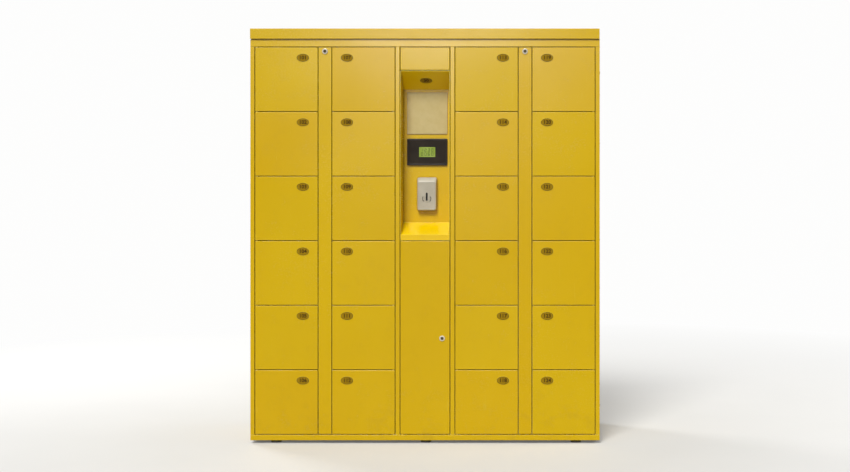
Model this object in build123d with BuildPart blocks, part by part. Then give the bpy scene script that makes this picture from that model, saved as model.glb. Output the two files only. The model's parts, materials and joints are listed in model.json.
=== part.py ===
from build123d import *

import os

# A bank of 24 steel parcel compartments around one payment column: two double
# columns of doors share a lock pillar each, and the payment column stands between
# them. Units stand side by side in a run, joined through their side panels.
#
# Millimetres. +Z is up, the doors face -Y, +X is to the right of a customer.
# The origin is on the floor, at the centre of the footprint.

os.makedirs("parts", exist_ok=True)

# ---------------------------------------------------------------- driving sizes
DOOR_PITCH = 300          # height of one compartment
DOOR_ROWS = 6
DOOR_SPAN = 294           # width from grid line to grid line
PILLAR_SPAN = 64          # lock pillar between two door columns
POST_SPAN = 21            # post at each end of the unit
STRIP_SPAN = 23           # post on each side of the payment column
TERMINAL_SPAN = 232       # payment column
BODY_DEPTH = 500
FASCIA_PROUD = 8          # fascia stands this far in front of the doors
FOOT_HEIGHT = 14
BASE_HEIGHT = 28
TOP_RAIL_HEIGHT = 35
FASCIA_HEIGHT = 48
FASCIA_GAP = 3            # shadow gap under the fascia
FASCIA_DEPTH = 120

SHEET = 1.5
HALF_GAP = 1.5            # every front panel stops this far from its grid line
BEND = 2                  # outside radius of a folded edge
PAN_DEPTH = 20            # depth of the returns on doors, covers and posts
SEAM = 0.2                # joint between panels that are fixed to each other
RUNNING_GAP = 0.05        # radial clearance on every turning fit

# ------------------------------------------------------------- worked-out places
TERMINAL_X = TERMINAL_SPAN / 2
STRIP_X = TERMINAL_X + STRIP_SPAN
PILLAR_IN_X = STRIP_X + DOOR_SPAN
PILLAR_OUT_X = PILLAR_IN_X + PILLAR_SPAN
POST_X = PILLAR_OUT_X + DOOR_SPAN
SIDE_X = POST_X + POST_SPAN
PILLAR_X = (PILLAR_IN_X + PILLAR_OUT_X) / 2

BACK = (BODY_DEPTH + FASCIA_PROUD) / 2
FRONT = BACK - BODY_DEPTH
FASCIA_FRONT = FRONT - FASCIA_PROUD
PAN_BACK = FRONT + PAN_DEPTH
FRAME_FRONT = PAN_BACK + 4
FRAME_BACK = FRAME_FRONT + SHEET
PANEL_FRONT = FRAME_BACK + SEAM
BACK_INSIDE = BACK - SHEET

BODY_BOTTOM = FOOT_HEIGHT
STACK_BOTTOM = BODY_BOTTOM + BASE_HEIGHT
STACK_TOP = STACK_BOTTOM + DOOR_ROWS * DOOR_PITCH
BODY_TOP = STACK_TOP + TOP_RAIL_HEIGHT
FASCIA_BOTTOM = BODY_TOP + FASCIA_GAP
UNIT_TOP = FASCIA_BOTTOM + FASCIA_HEIGHT
GRID_Z = [STACK_BOTTOM + DOOR_PITCH * row for row in range(DOOR_ROWS + 1)]
ROW_MIDDLES = [z + DOOR_PITCH / 2 for z in GRID_Z[:-1]]

# Hinges: the rod runs a little inside the leaf's edge and just behind its sheet.
ROD_RADIUS = 3
HINGE_INSET = 8           # from the leaf's edge to the rod's axis
HINGE_Y = FRONT + 5
BRACKET_THICKNESS = 1.6
BRACKET_RADIUS = 4.4

# Electric locks in the pillars and the strikers that they hold.
STRIKER_INSET = 5.5       # from the leaf's free edge to the striker
STRIKER_THICKNESS = 2
STRIKER_HEIGHT = 30
STRIKER_REAR = FRONT + 46
BOLT_Y = FRONT + 39
LOCK_SIZE = (27, 66, 80)
LOCK_FRONT = FRONT + 30
CHANNEL_BACK = FRONT + 116   # sheet that closes the pillar behind the locks

# Oval number plates.
PLATE_WIDTH = 57
PLATE_HEIGHT = 36
PLATE_THICKNESS = 1.2
PLATE_FROM_EDGE = 69      # from the free edge of the door
PLATE_FROM_TOP = 48

# Key locks of the pillar covers and the service door.
KEY_FLANGE_RADIUS = 13
KEY_BODY_RADIUS = 10
KEY_PLUG_RADIUS = 7
KEY_FROM_COVER_TOP = 18
CAM_THICKNESS = 3
CAM_WIDTH = 9
CAM_Y = PAN_BACK + 4      # front face of the cam

# Pillar cover pivot, near the floor.
PIVOT_RADIUS = 2
PIVOT_Y = FRONT + 5.5
PIVOT_Z = STACK_BOTTOM + HALF_GAP + 8

# Payment column, measured up from the floor.
HEADER_BOTTOM = STACK_TOP - 108
ALCOVE_DEPTH = 100
ALCOVE_BACK = FRONT + ALCOVE_DEPTH
SOFFIT_BACK_Z = STACK_TOP - 193
SILL_BACK_Z = STACK_TOP - 820
SILL_FRONT_Z = STACK_TOP - 872
SERVICE_TOP = STACK_TOP - 900
ALCOVE_INSIDE_X = TERMINAL_X - HALF_GAP - SHEET
NOTICE_SIZE = (189, 196)
NOTICE_Z = STACK_TOP - 306
DISPLAY_SIZE = (189, 125)
DISPLAY_Z = STACK_TOP - 488.5
SCREEN_SIZE = (73, 43)
COIN_UNIT_SIZE = (92, 156)
COIN_UNIT_DEPTH = 28
COIN_UNIT_Z = STACK_TOP - 686
COIN_SLOT_DROP = 12       # slot below the middle of the coin unit
SERVICE_KEY_X = TERMINAL_X - HALF_GAP - 35
SERVICE_KEY_Z = SERVICE_TOP - HALF_GAP - 452
PARTITION_X = (TERMINAL_X + STRIP_X) / 2


# --------------------------------------------------------------------- helpers
def plate(x0, x1, y0, y1, z0, z1, mode=Mode.ADD):
    """A flat plate between two corners, in the open part."""
    with Locations(((x0 + x1) / 2, (y0 + y1) / 2, (z0 + z1) / 2)):
        Box(abs(x1 - x0), abs(y1 - y0), abs(z1 - z0), mode=mode)


def rod_along_x(radius, x0, x1, y, z, mode=Mode.ADD):
    """A round bar or hole along X."""
    with Locations(((x0 + x1) / 2, y, z)):
        Cylinder(radius, x1 - x0, rotation=(0, 90, 0), mode=mode)


def rod_along_y(radius, x, y0, y1, z, mode=Mode.ADD):
    """A round bar or hole along Y."""
    with Locations((x, (y0 + y1) / 2, z)):
        Cylinder(radius, y1 - y0, rotation=(90, 0, 0), mode=mode)


def rod_along_z(radius, x, y, z0, z1, mode=Mode.ADD):
    """A round bar or hole along Z."""
    with Locations((x, y, (z0 + z1) / 2)):
        Cylinder(radius, z1 - z0, mode=mode)


def add_pan(builder, x0, x1, z0, z1):
    """A front sheet with four folded returns, open at the back."""
    plate(x0, x1, FRONT, PAN_BACK, z0, z1)
    front_face = builder.faces(Select.LAST).sort_by(Axis.Y)[0]
    fillet(front_face.edges(), BEND)
    plate(x0 + SHEET, x1 - SHEET, FRONT + SHEET, PAN_BACK, z0 + SHEET, z1 - SHEET, Mode.SUBTRACT)


def add_post(builder, x0, x1, z0, z1):
    """An upright channel: front sheet and two side returns."""
    plate(x0, x1, FRONT, PAN_BACK, z0, z1)
    front_face = builder.faces(Select.LAST).sort_by(Axis.Y)[0]
    fillet(front_face.edges().filter_by(Axis.Z), BEND)
    plate(x0 + SHEET, x1 - SHEET, FRONT + SHEET, PAN_BACK, z0, z1, Mode.SUBTRACT)


def add_stiffener(x, z0, z1):
    """A top-hat stiffener inside a pan, standing on the back of its front sheet."""
    front = FRONT + SHEET + SEAM
    back = front + 12
    plate(x - 20, x + 20, front, back, z0, z1)
    plate(x - 20 + SHEET, x + 20 - SHEET, front, back - SHEET, z0, z1, Mode.SUBTRACT)


def add_number_plate(plane):
    """An oval plate with a raised rim, standing just off its panel."""
    with BuildSketch(plane) as outline:
        Ellipse(PLATE_WIDTH / 2, PLATE_HEIGHT / 2)
    extrude(outline.sketch, amount=PLATE_THICKNESS)
    rim = 2.2
    with BuildSketch(plane.offset(PLATE_THICKNESS - 0.4)) as field:
        Ellipse(PLATE_WIDTH / 2 - rim, PLATE_HEIGHT / 2 - rim)
    extrude(field.sketch, amount=1, mode=Mode.SUBTRACT)


def write_part(builder, label):
    """Label a finished sub-part and write its STEP file."""
    builder.part.label = label
    export_step(builder.part, f"parts/{label}.step")


# ----------------------------------------------------------------- door columns
class Column:
    """One column of doors: its hinge edge, free edge and partition faces."""

    def __init__(self, hinge_x, free_x, wall_hinge_x, wall_free_x):
        self.hinge_x = hinge_x
        self.free_x = free_x
        self.side = 1 if free_x > hinge_x else -1
        self.rod_x = hinge_x + self.side * (HALF_GAP + HINGE_INSET)
        self.striker_x = free_x - self.side * (HALF_GAP + STRIKER_INSET)
        self.wall_hinge_x = wall_hinge_x
        self.wall_free_x = wall_free_x


SKIN = SHEET + SEAM
HALF_WALL = SHEET / 2 + SEAM
COLUMNS = [
    Column(-POST_X, -PILLAR_OUT_X, -SIDE_X + SKIN, -PILLAR_OUT_X - HALF_WALL),
    Column(-STRIP_X, -PILLAR_IN_X, -PARTITION_X - HALF_WALL, -PILLAR_IN_X + HALF_WALL),
    Column(STRIP_X, PILLAR_IN_X, PARTITION_X + HALF_WALL, PILLAR_IN_X - HALF_WALL),
    Column(POST_X, PILLAR_OUT_X, SIDE_X - SKIN, PILLAR_OUT_X + HALF_WALL),
]
PILLARS = {"left": -PILLAR_X, "right": PILLAR_X}


def make_door(column, row, number):
    """A compartment door: folded pan, stiffener, striker and number plate."""
    low_x = min(column.hinge_x, column.free_x) + HALF_GAP
    high_x = max(column.hinge_x, column.free_x) - HALF_GAP
    low_z = GRID_Z[row] + HALF_GAP
    high_z = GRID_Z[row + 1] - HALF_GAP
    middle_z = ROW_MIDDLES[row]
    side = column.side

    with BuildPart() as door:
        add_pan(door, low_x, high_x, low_z, high_z)
        # The rod runs through the top and bottom returns.
        rod_along_z(ROD_RADIUS + RUNNING_GAP, column.rod_x, HINGE_Y, low_z - 1, high_z + 1, Mode.SUBTRACT)
        add_stiffener((low_x + high_x) / 2, low_z + 8, high_z - 8)
        # Striker plate with a window for the lock's bolt.
        striker_front = FRONT + SHEET + SEAM
        striker_end = column.striker_x - side * STRIKER_THICKNESS
        half = STRIKER_HEIGHT / 2
        plate(column.striker_x, striker_end, striker_front, STRIKER_REAR, middle_z - half, middle_z + half)
        plate(column.striker_x + side, striker_end - side, BOLT_Y - 5, BOLT_Y + 5,
              middle_z - 6, middle_z + 6, Mode.SUBTRACT)
        # The striker's foot, spot-welded to the front sheet.
        foot_x = column.striker_x - side * 14
        plate(column.striker_x, foot_x, striker_front, striker_front + 2, middle_z - half, middle_z + half)
        plate_x = column.free_x - side * (HALF_GAP + PLATE_FROM_EDGE)
        plate_z = high_z - PLATE_FROM_TOP
        add_number_plate(Plane(origin=(plate_x, FRONT - 0.05, plate_z), x_dir=(1, 0, 0), z_dir=(0, -1, 0)))
    write_part(door, f"door_{number:02d}")


# Doors are numbered down each column, from the left.
for column_index, column in enumerate(COLUMNS):
    for row_from_top in range(DOOR_ROWS):
        door_number = column_index * DOOR_ROWS + row_from_top + 1
        make_door(column, DOOR_ROWS - 1 - row_from_top, door_number)

# ------------------------------------------------------------------- front frame
POST_JOINT = 0.3
post_low = STACK_BOTTOM - HALF_GAP + POST_JOINT
post_high = STACK_TOP + HALF_GAP - POST_JOINT

with BuildPart() as front_frame:
    for sign in (-1, 1):
        for edge_x, grid_x in ((SIDE_X, POST_X + HALF_GAP), (STRIP_X - HALF_GAP, TERMINAL_X + HALF_GAP)):
            ends = sorted((sign * edge_x, sign * grid_x))
            add_post(front_frame, ends[0], ends[1], post_low, post_high)
    add_pan(front_frame, -SIDE_X, SIDE_X, STACK_TOP + HALF_GAP, BODY_TOP)
    add_pan(front_frame, -SIDE_X, SIDE_X, BODY_BOTTOM, STACK_BOTTOM - HALF_GAP)
write_part(front_frame, "front_frame")

# ------------------------------------------------------------------ outer panels
JOIN_HOLE_RADIUS = 4.5
JOIN_SPAN_Y = 380
JOIN_SPAN_Z = 1560
side_front = PAN_BACK + SEAM
join_y = (side_front + BACK) / 2
join_z = (BODY_BOTTOM + BODY_TOP) / 2

with BuildPart() as side_panels:
    for sign in (-1, 1):
        plate(sign * SIDE_X, sign * (SIDE_X - SHEET), side_front, BACK, BODY_BOTTOM, BODY_TOP - SHEET - SEAM)
    # Neighbouring units are bolted together through these holes.
    for dy in (-JOIN_SPAN_Y / 2, JOIN_SPAN_Y / 2):
        for dz in (-JOIN_SPAN_Z / 2, JOIN_SPAN_Z / 2):
            rod_along_x(JOIN_HOLE_RADIUS, -SIDE_X - 5, SIDE_X + 5, join_y + dy, join_z + dz, Mode.SUBTRACT)
write_part(side_panels, "side_panels")

CABLE_HOLE_RADIUS = 18
CABLE_HOLE_Y = FASCIA_FRONT + 85

with BuildPart() as top_panel:
    plate(-SIDE_X, SIDE_X, side_front, BACK, BODY_TOP - SHEET, BODY_TOP)
    # Cables rise through this hole into the fascia duct.
    rod_along_z(CABLE_HOLE_RADIUS, 0, CABLE_HOLE_Y, BODY_TOP - 5, BODY_TOP + 5, Mode.SUBTRACT)
write_part(top_panel, "top_panel")

WALL_HOLE_RADIUS = 5
WALL_SPAN_X = 1400
WALL_SPAN_Z = 1300
LOUVRE_ROWS = 8
LOUVRE_PITCH = 16
LOUVRE_LOW = 1400

with BuildPart() as back_panels:
    back_low = BODY_BOTTOM
    back_high = BODY_TOP - SHEET - SEAM
    outer_x = SIDE_X - SKIN
    half_seam = SEAM / 2
    for x0, x1 in ((-outer_x, -PILLAR_X - half_seam), (-PILLAR_X + half_seam, PILLAR_X - half_seam),
                   (PILLAR_X + half_seam, outer_x)):
        plate(x0, x1, BACK_INSIDE, BACK, back_low, back_high)
    # Wall anchor holes.
    for x in (-WALL_SPAN_X / 2, WALL_SPAN_X / 2):
        for z in (join_z - WALL_SPAN_Z / 2, join_z + WALL_SPAN_Z / 2):
            rod_along_y(WALL_HOLE_RADIUS, x, BACK - 5, BACK + 5, z, Mode.SUBTRACT)
    # Cooling slots behind the electronics.
    for slot_row in range(LOUVRE_ROWS):
        for x in (-45, 45):
            z = LOUVRE_LOW + slot_row * LOUVRE_PITCH
            plate(x - 30, x + 30, BACK - 5, BACK + 5, z, z + 4, Mode.SUBTRACT)
write_part(back_panels, "back_panels")

# ------------------------------------------------------------- base and its feet
FEET_X = (-700, 0, 700)
FEET_Y = (-200, 210)
STEM_RADIUS = 6

with BuildPart() as base_frame:
    # Two side rails and a rear rail in channel section, with cross members over the feet.
    low = BODY_BOTTOM
    high = STACK_BOTTOM - HALF_GAP
    inside = SIDE_X - SKIN
    rail_front = side_front
    for sign in (-1, 1):
        plate(sign * inside, sign * (inside - 40), rail_front, BACK_INSIDE - SEAM, low, high)
        plate(sign * (inside - SHEET), sign * (inside - 40), rail_front, BACK_INSIDE - SEAM,
              low + SHEET, high - SHEET, Mode.SUBTRACT)
    for x in FEET_X:
        half = 25
        edge = inside - 40 - SEAM
        x0 = max(x - half, -edge)
        x1 = min(x + half, edge)
        plate(x0, x1, rail_front, BACK_INSIDE - SEAM, low, high)
        plate(x0 + SHEET, x1 - SHEET, rail_front, BACK_INSIDE - SEAM, low + SHEET, high, Mode.SUBTRACT)
        for y in FEET_Y:
            rod_along_z(STEM_RADIUS + 0.5, x, y, low - 1, low + SHEET + 1, Mode.SUBTRACT)
write_part(base_frame, "base_frame")

with BuildPart() as levelling_feet:
    for x in FEET_X:
        for y in FEET_Y:
            rod_along_z(24, x, y, 0, 6)
            rod_along_z(14, x, y, 6, 9)
            rod_along_z(STEM_RADIUS, x, y, 9, 34)
    top_edges = levelling_feet.edges().filter_by(GeomType.CIRCLE).group_by(Axis.Z)[1]
    fillet(top_edges, 1.5)
write_part(levelling_feet, "levelling_feet")

# ---------------------------------------------------------- partitions, shelves
GUIDE_X = 82
CASH_SHELF_Z = 508

with BuildPart() as inner_panels:
    low = STACK_BOTTOM - HALF_GAP + SEAM
    high = STACK_TOP + HALF_GAP - SEAM
    rear = BACK_INSIDE - SEAM
    for sign in (-1, 1):
        for wall_x in (PILLAR_OUT_X, PILLAR_IN_X, PARTITION_X):
            x = sign * wall_x
            plate(x - SHEET / 2, x + SHEET / 2, PANEL_FRONT, rear, low, high)
        # Windows for the lock bolts in both walls of the pillar.
        for middle_z in ROW_MIDDLES:
            plate(sign * (PILLAR_IN_X - 2), sign * (PILLAR_OUT_X + 2), BOLT_Y - 7, BOLT_Y + 7,
                  middle_z - 8, middle_z + 8, Mode.SUBTRACT)
        channel_half = PILLAR_SPAN / 2 - HALF_WALL
        x = sign * PILLAR_X
        plate(x - channel_half, x + channel_half, CHANNEL_BACK, CHANNEL_BACK + SHEET, low, high)
    # Shelf and side guides for the cash box.
    shelf_half = PARTITION_X - HALF_WALL
    plate(-shelf_half, shelf_half, FRONT + 60, rear, CASH_SHELF_Z, CASH_SHELF_Z + 2)
    for sign in (-1, 1):
        plate(sign * GUIDE_X, sign * (GUIDE_X + 2), FRONT + 60, FRONT + 340,
              CASH_SHELF_Z + 2 + SEAM, CASH_SHELF_Z + 24)
write_part(inner_panels, "inner_panels")

with BuildPart() as compartment_shelves:
    for column in COLUMNS:
        ends = sorted((column.wall_hinge_x, column.wall_free_x))
        for z in GRID_Z:
            plate(ends[0], ends[1], PANEL_FRONT, BACK_INSIDE - SEAM, z - SHEET / 2, z + SHEET / 2)
    # Floor and ceiling of the payment column.
    for z in (GRID_Z[0], GRID_Z[-1]):
        plate(-shelf_half, shelf_half, PANEL_FRONT, BACK_INSIDE - SEAM, z - SHEET / 2, z + SHEET / 2)
    rod_along_z(CABLE_HOLE_RADIUS, 0, CABLE_HOLE_Y, STACK_TOP - 5, STACK_TOP + 5, Mode.SUBTRACT)
write_part(compartment_shelves, "compartment_shelves")

# -------------------------------------------- door frames, brackets and hinge rods
HINGE_STILE = 7           # stile past the rod's axis, into the opening
FREE_STILE = 16
RAIL_HALF = 8
frame_low = STACK_BOTTOM - 1
frame_high = STACK_TOP + 1
SLOT_IN = 2.5             # striker slot, towards the opening
SLOT_OUT = 4.5            # striker slot, towards the pillar: the striker swings that way
SERVICE_ROD_X = -TERMINAL_X + HALF_GAP + HINGE_INSET
SERVICE_LINES = (STACK_BOTTOM, SERVICE_TOP)


def add_bracket(x, z):
    """A hinge bracket in the gap at a grid line, from the frame to the rod."""
    low_z = z - BRACKET_THICKNESS / 2
    rod_along_z(BRACKET_RADIUS, x, HINGE_Y, low_z, low_z + BRACKET_THICKNESS)
    high_z = low_z + BRACKET_THICKNESS
    plate(x - BRACKET_RADIUS, x + BRACKET_RADIUS, HINGE_Y, FRAME_FRONT - SEAM, low_z, high_z)
    rod_along_z(ROD_RADIUS + RUNNING_GAP, x, HINGE_Y, low_z - 1, high_z + 1, Mode.SUBTRACT)


with BuildPart() as door_frames:
    for column in COLUMNS:
        side = column.side
        hinge_inner = column.rod_x + side * HINGE_STILE
        free_inner = column.free_x - side * FREE_STILE
        plate(column.wall_hinge_x, hinge_inner, FRAME_FRONT, FRAME_BACK, frame_low, frame_high)
        plate(column.wall_free_x, free_inner, FRAME_FRONT, FRAME_BACK, frame_low, frame_high)
        slot_start = column.striker_x - side * (STRIKER_THICKNESS + SLOT_IN)
        slot_end = column.striker_x + side * SLOT_OUT
        for middle_z in ROW_MIDDLES:
            plate(slot_start, slot_end, FRAME_FRONT - 1, FRAME_BACK + 1,
                  middle_z - 18, middle_z + 18, Mode.SUBTRACT)
        ends = sorted((hinge_inner + side * SEAM, free_inner - side * SEAM))
        for z in GRID_Z:
            rail_low = max(z - RAIL_HALF, frame_low)
            rail_high = min(z + RAIL_HALF, frame_high)
            plate(ends[0], ends[1], FRAME_FRONT, FRAME_BACK, rail_low, rail_high)
            add_bracket(column.rod_x, z)
    # Service door: hinge brackets and the edge that its cam goes behind.
    for z in SERVICE_LINES:
        add_bracket(SERVICE_ROD_X, z)
    stile_start = -(PARTITION_X - HALF_WALL)
    plate(stile_start, SERVICE_ROD_X + HINGE_STILE, FRAME_FRONT, FRAME_BACK, frame_low, SERVICE_TOP)
    plate(TERMINAL_X - 0.2, PARTITION_X - HALF_WALL, CAM_Y - 3.5, CAM_Y - 2,
          SERVICE_KEY_Z - 20, SERVICE_KEY_Z + 20)
    # Pillar covers: foot plates, pivot tabs and the catches over their cams.
    for x in PILLARS.values():
        plate(x - 30, x + 30, FRAME_FRONT, FRAME_BACK, frame_low, frame_low + 34)
        plate(x - 12, x + 12, CAM_Y - 3.4, CAM_Y - 1.9, STACK_TOP - 9, STACK_TOP + HALF_GAP - SEAM)
        for tab_x in (x - 23, x + 23):
            with BuildSketch(Plane.YZ.offset(tab_x)) as tab:
                with BuildLine():
                    rear_y = FRAME_FRONT - SEAM
                    Polyline(
                        (PIVOT_Y, PIVOT_Z - 3.2),
                        (rear_y, PIVOT_Z + 2.5),
                        (rear_y, PIVOT_Z + 14),
                        (PIVOT_Y, PIVOT_Z + 3.2),
                        (PIVOT_Y, PIVOT_Z - 3.2),
                    )
                make_face()
                with Locations((PIVOT_Y, PIVOT_Z)):
                    Circle(3.2)
                    Circle(PIVOT_RADIUS + RUNNING_GAP, mode=Mode.SUBTRACT)
            extrude(tab.sketch, amount=2)
write_part(door_frames, "door_frames")

with BuildPart() as hinge_rods:
    for column in COLUMNS:
        rod_along_z(ROD_RADIUS, column.rod_x, HINGE_Y, STACK_BOTTOM - 1.1, STACK_TOP + 1.1)
    rod_along_z(ROD_RADIUS, SERVICE_ROD_X, HINGE_Y, STACK_BOTTOM - 1.1, SERVICE_TOP + 1.1)
    pivot_half = PILLAR_SPAN / 2 - HALF_GAP + 0.5
    for x in PILLARS.values():
        rod_along_x(PIVOT_RADIUS, x - pivot_half, x + pivot_half, PIVOT_Y, PIVOT_Z)
write_part(hinge_rods, "hinge_rods")

with BuildPart() as door_buffers:
    # Rubber buttons on the frame that a closing door lands on.
    for column in COLUMNS:
        x = column.free_x - column.side * 12
        for z in GRID_Z[:-1]:
            for button_z in (z + 30, z + DOOR_PITCH - 30):
                rod_along_y(4, x, PAN_BACK + 0.4, FRAME_FRONT - 0.02, button_z)
write_part(door_buffers, "door_buffers")

# ------------------------------------------------------------------ electric locks
with BuildPart() as electric_locks:
    width, depth, height = LOCK_SIZE
    for x in PILLARS.values():
        for side in (-1, 1):
            wall = x + side * (PILLAR_SPAN / 2 - HALF_WALL)
            for z in ROW_MIDDLES:
                outer = wall - side * 1.5
                inner = outer - side * width
                plate(outer, inner, LOCK_FRONT, LOCK_FRONT + depth, z - height / 2, z + height / 2)
                # Recess at the mouth of the bolt, and the solenoid behind the case.
                plate(outer, outer - side * 6, BOLT_Y - 6, BOLT_Y + 6, z - 8, z + 8, Mode.SUBTRACT)
                middle = (outer + inner) / 2
                rod_along_z(9, middle, LOCK_FRONT + depth + 8, z - 26, z + 26)
                # The bolt, drawn back: its nose is level with the pillar wall.
                nose = wall + side * 0.9
                plate(nose, outer - side * 5.5, BOLT_Y - 4, BOLT_Y + 4, z - 5, z + 5)
write_part(electric_locks, "electric_locks")

# --------------------------------------------------- pillar covers and their locks
COVER_HALF = PILLAR_SPAN / 2 - HALF_GAP
COVER_LOW = STACK_BOTTOM + HALF_GAP
COVER_HIGH = STACK_TOP - HALF_GAP
KEY_Z = COVER_HIGH - KEY_FROM_COVER_TOP


def make_pillar_cover(name, x):
    """A tall pan over the locks; it tips forward on two holes at its foot."""
    with BuildPart() as cover:
        add_pan(cover, x - COVER_HALF, x + COVER_HALF, COVER_LOW, COVER_HIGH)
        rod_along_x(PIVOT_RADIUS + RUNNING_GAP, x - 40, x + 40, PIVOT_Y, PIVOT_Z, Mode.SUBTRACT)
        rod_along_y(KEY_BODY_RADIUS + 0.1, x, FRONT - 1, FRONT + SHEET + 1, KEY_Z, Mode.SUBTRACT)
    write_part(cover, f"pillar_cover_{name}")


def make_key_lock(name, x, z):
    """Lock barrel with its front flange, and the hex nut behind the sheet."""
    with BuildPart() as barrel:
        rod_along_y(KEY_FLANGE_RADIUS, x, FRONT - 4, FRONT, z)
        rim = barrel.edges().filter_by(GeomType.CIRCLE).sort_by(Axis.Y)[0]
        fillet(rim, 1.6)
        rod_along_y(KEY_BODY_RADIUS, x, FRONT - 1, CAM_Y - 0.3, z)
        rod_along_y(KEY_PLUG_RADIUS + RUNNING_GAP, x, FRONT - 10, CAM_Y + 5, z, Mode.SUBTRACT)
        with BuildSketch(Plane.XZ.offset(-(FRONT + SHEET + SEAM))) as nut:
            with Locations((x, z)):
                RegularPolygon(14, 6)
                Circle(KEY_BODY_RADIUS + 0.1, mode=Mode.SUBTRACT)
        extrude(nut.sketch, amount=-4)
    write_part(barrel, f"{name}_lock")


def make_key_plug(name, x, z, direction, reach):
    """Keyed plug with its cam; the cam points along direction when unlocked."""
    with BuildPart() as plug:
        rod_along_y(KEY_PLUG_RADIUS, x, FRONT - 4.4, CAM_Y + 0.1, z)
        # Keyway across the face of the plug.
        plate(x - 1.1, x + 1.1, FRONT - 6, FRONT + 4, z - 4.6, z + 4.6, Mode.SUBTRACT)
        tip_x = x + direction[0] * reach
        tip_z = z + direction[1] * reach
        half_x = 0 if direction[0] else CAM_WIDTH / 2
        half_z = 0 if direction[1] else CAM_WIDTH / 2
        plate(min(x, tip_x) - half_x, max(x, tip_x) + half_x, CAM_Y, CAM_Y + CAM_THICKNESS,
              min(z, tip_z) - half_z, max(z, tip_z) + half_z)
        rod_along_y(KEY_PLUG_RADIUS, x, CAM_Y, CAM_Y + CAM_THICKNESS, z)
    write_part(plug, f"{name}_plug")


COVER_CAM_REACH = 19
SERVICE_CAM_REACH = 41
for name, x in PILLARS.items():
    make_pillar_cover(name, x)
    make_key_lock(f"pillar_{name}", x, KEY_Z)
    make_key_plug(f"pillar_{name}", x, KEY_Z, (1, 0), COVER_CAM_REACH)

# ------------------------------------------------------------------- service door
with BuildPart() as service_door:
    leaf_half = TERMINAL_X - HALF_GAP
    leaf_low = STACK_BOTTOM + HALF_GAP
    leaf_high = SERVICE_TOP - HALF_GAP
    add_pan(service_door, -leaf_half, leaf_half, leaf_low, leaf_high)
    rod_along_z(ROD_RADIUS + RUNNING_GAP, SERVICE_ROD_X, HINGE_Y, leaf_low - 1, leaf_high + 1, Mode.SUBTRACT)
    key_hole = KEY_BODY_RADIUS + 0.1
    rod_along_y(key_hole, SERVICE_KEY_X, FRONT - 1, FRONT + SHEET + 1, SERVICE_KEY_Z, Mode.SUBTRACT)
    add_stiffener(0, leaf_low + 10, leaf_high - 10)
write_part(service_door, "service_door")
make_key_lock("service", SERVICE_KEY_X, SERVICE_KEY_Z)
make_key_plug("service", SERVICE_KEY_X, SERVICE_KEY_Z, (0, -1), SERVICE_CAM_REACH)

# --------------------------------------------------------------------- top fascia
with BuildPart() as top_fascia:
    fascia_back = FASCIA_FRONT + FASCIA_DEPTH
    fascia_half = SIDE_X - 0.5 - SKIN
    with BuildSketch(Plane.YZ) as fascia_section:
        with BuildLine():
            Polyline(
                (FASCIA_FRONT + 28, FASCIA_BOTTOM),
                (FASCIA_FRONT, FASCIA_BOTTOM),
                (FASCIA_FRONT, UNIT_TOP),
                (fascia_back, UNIT_TOP),
                (fascia_back, BODY_TOP + SEAM),
                (fascia_back - SHEET, BODY_TOP + SEAM),
                (fascia_back - SHEET, UNIT_TOP - SHEET),
                (FASCIA_FRONT + SHEET, UNIT_TOP - SHEET),
                (FASCIA_FRONT + SHEET, FASCIA_BOTTOM + SHEET),
                (FASCIA_FRONT + 28, FASCIA_BOTTOM + SHEET),
                (FASCIA_FRONT + 28, FASCIA_BOTTOM),
            )
        make_face()
        front_corners = fascia_section.vertices().sort_by(Axis.X)[:2]
        fillet(front_corners, BEND)
    extrude(fascia_section.sketch, amount=fascia_half, both=True)
    # End caps of the cable duct.
    cap_x = SIDE_X - 0.5
    for sign in (-1, 1):
        plate(sign * (cap_x - SHEET), sign * cap_x, FASCIA_FRONT, fascia_back, FASCIA_BOTTOM, UNIT_TOP)
write_part(top_fascia, "top_fascia")

# ------------------------------------------------------------------ payment alcove
with BuildPart() as header_panel:
    add_pan(header_panel, -leaf_half, leaf_half, HEADER_BOTTOM + HALF_GAP, STACK_TOP - HALF_GAP)
write_part(header_panel, "header_panel")

soffit_front_z = HEADER_BOTTOM - HALF_GAP
soffit_rise = soffit_front_z - SOFFIT_BACK_Z
soffit_length = (ALCOVE_DEPTH**2 + soffit_rise**2) ** 0.5
soffit_normal = (0, -soffit_rise / soffit_length, -ALCOVE_DEPTH / soffit_length)
alcove_half = ALCOVE_INSIDE_X - SEAM

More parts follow.
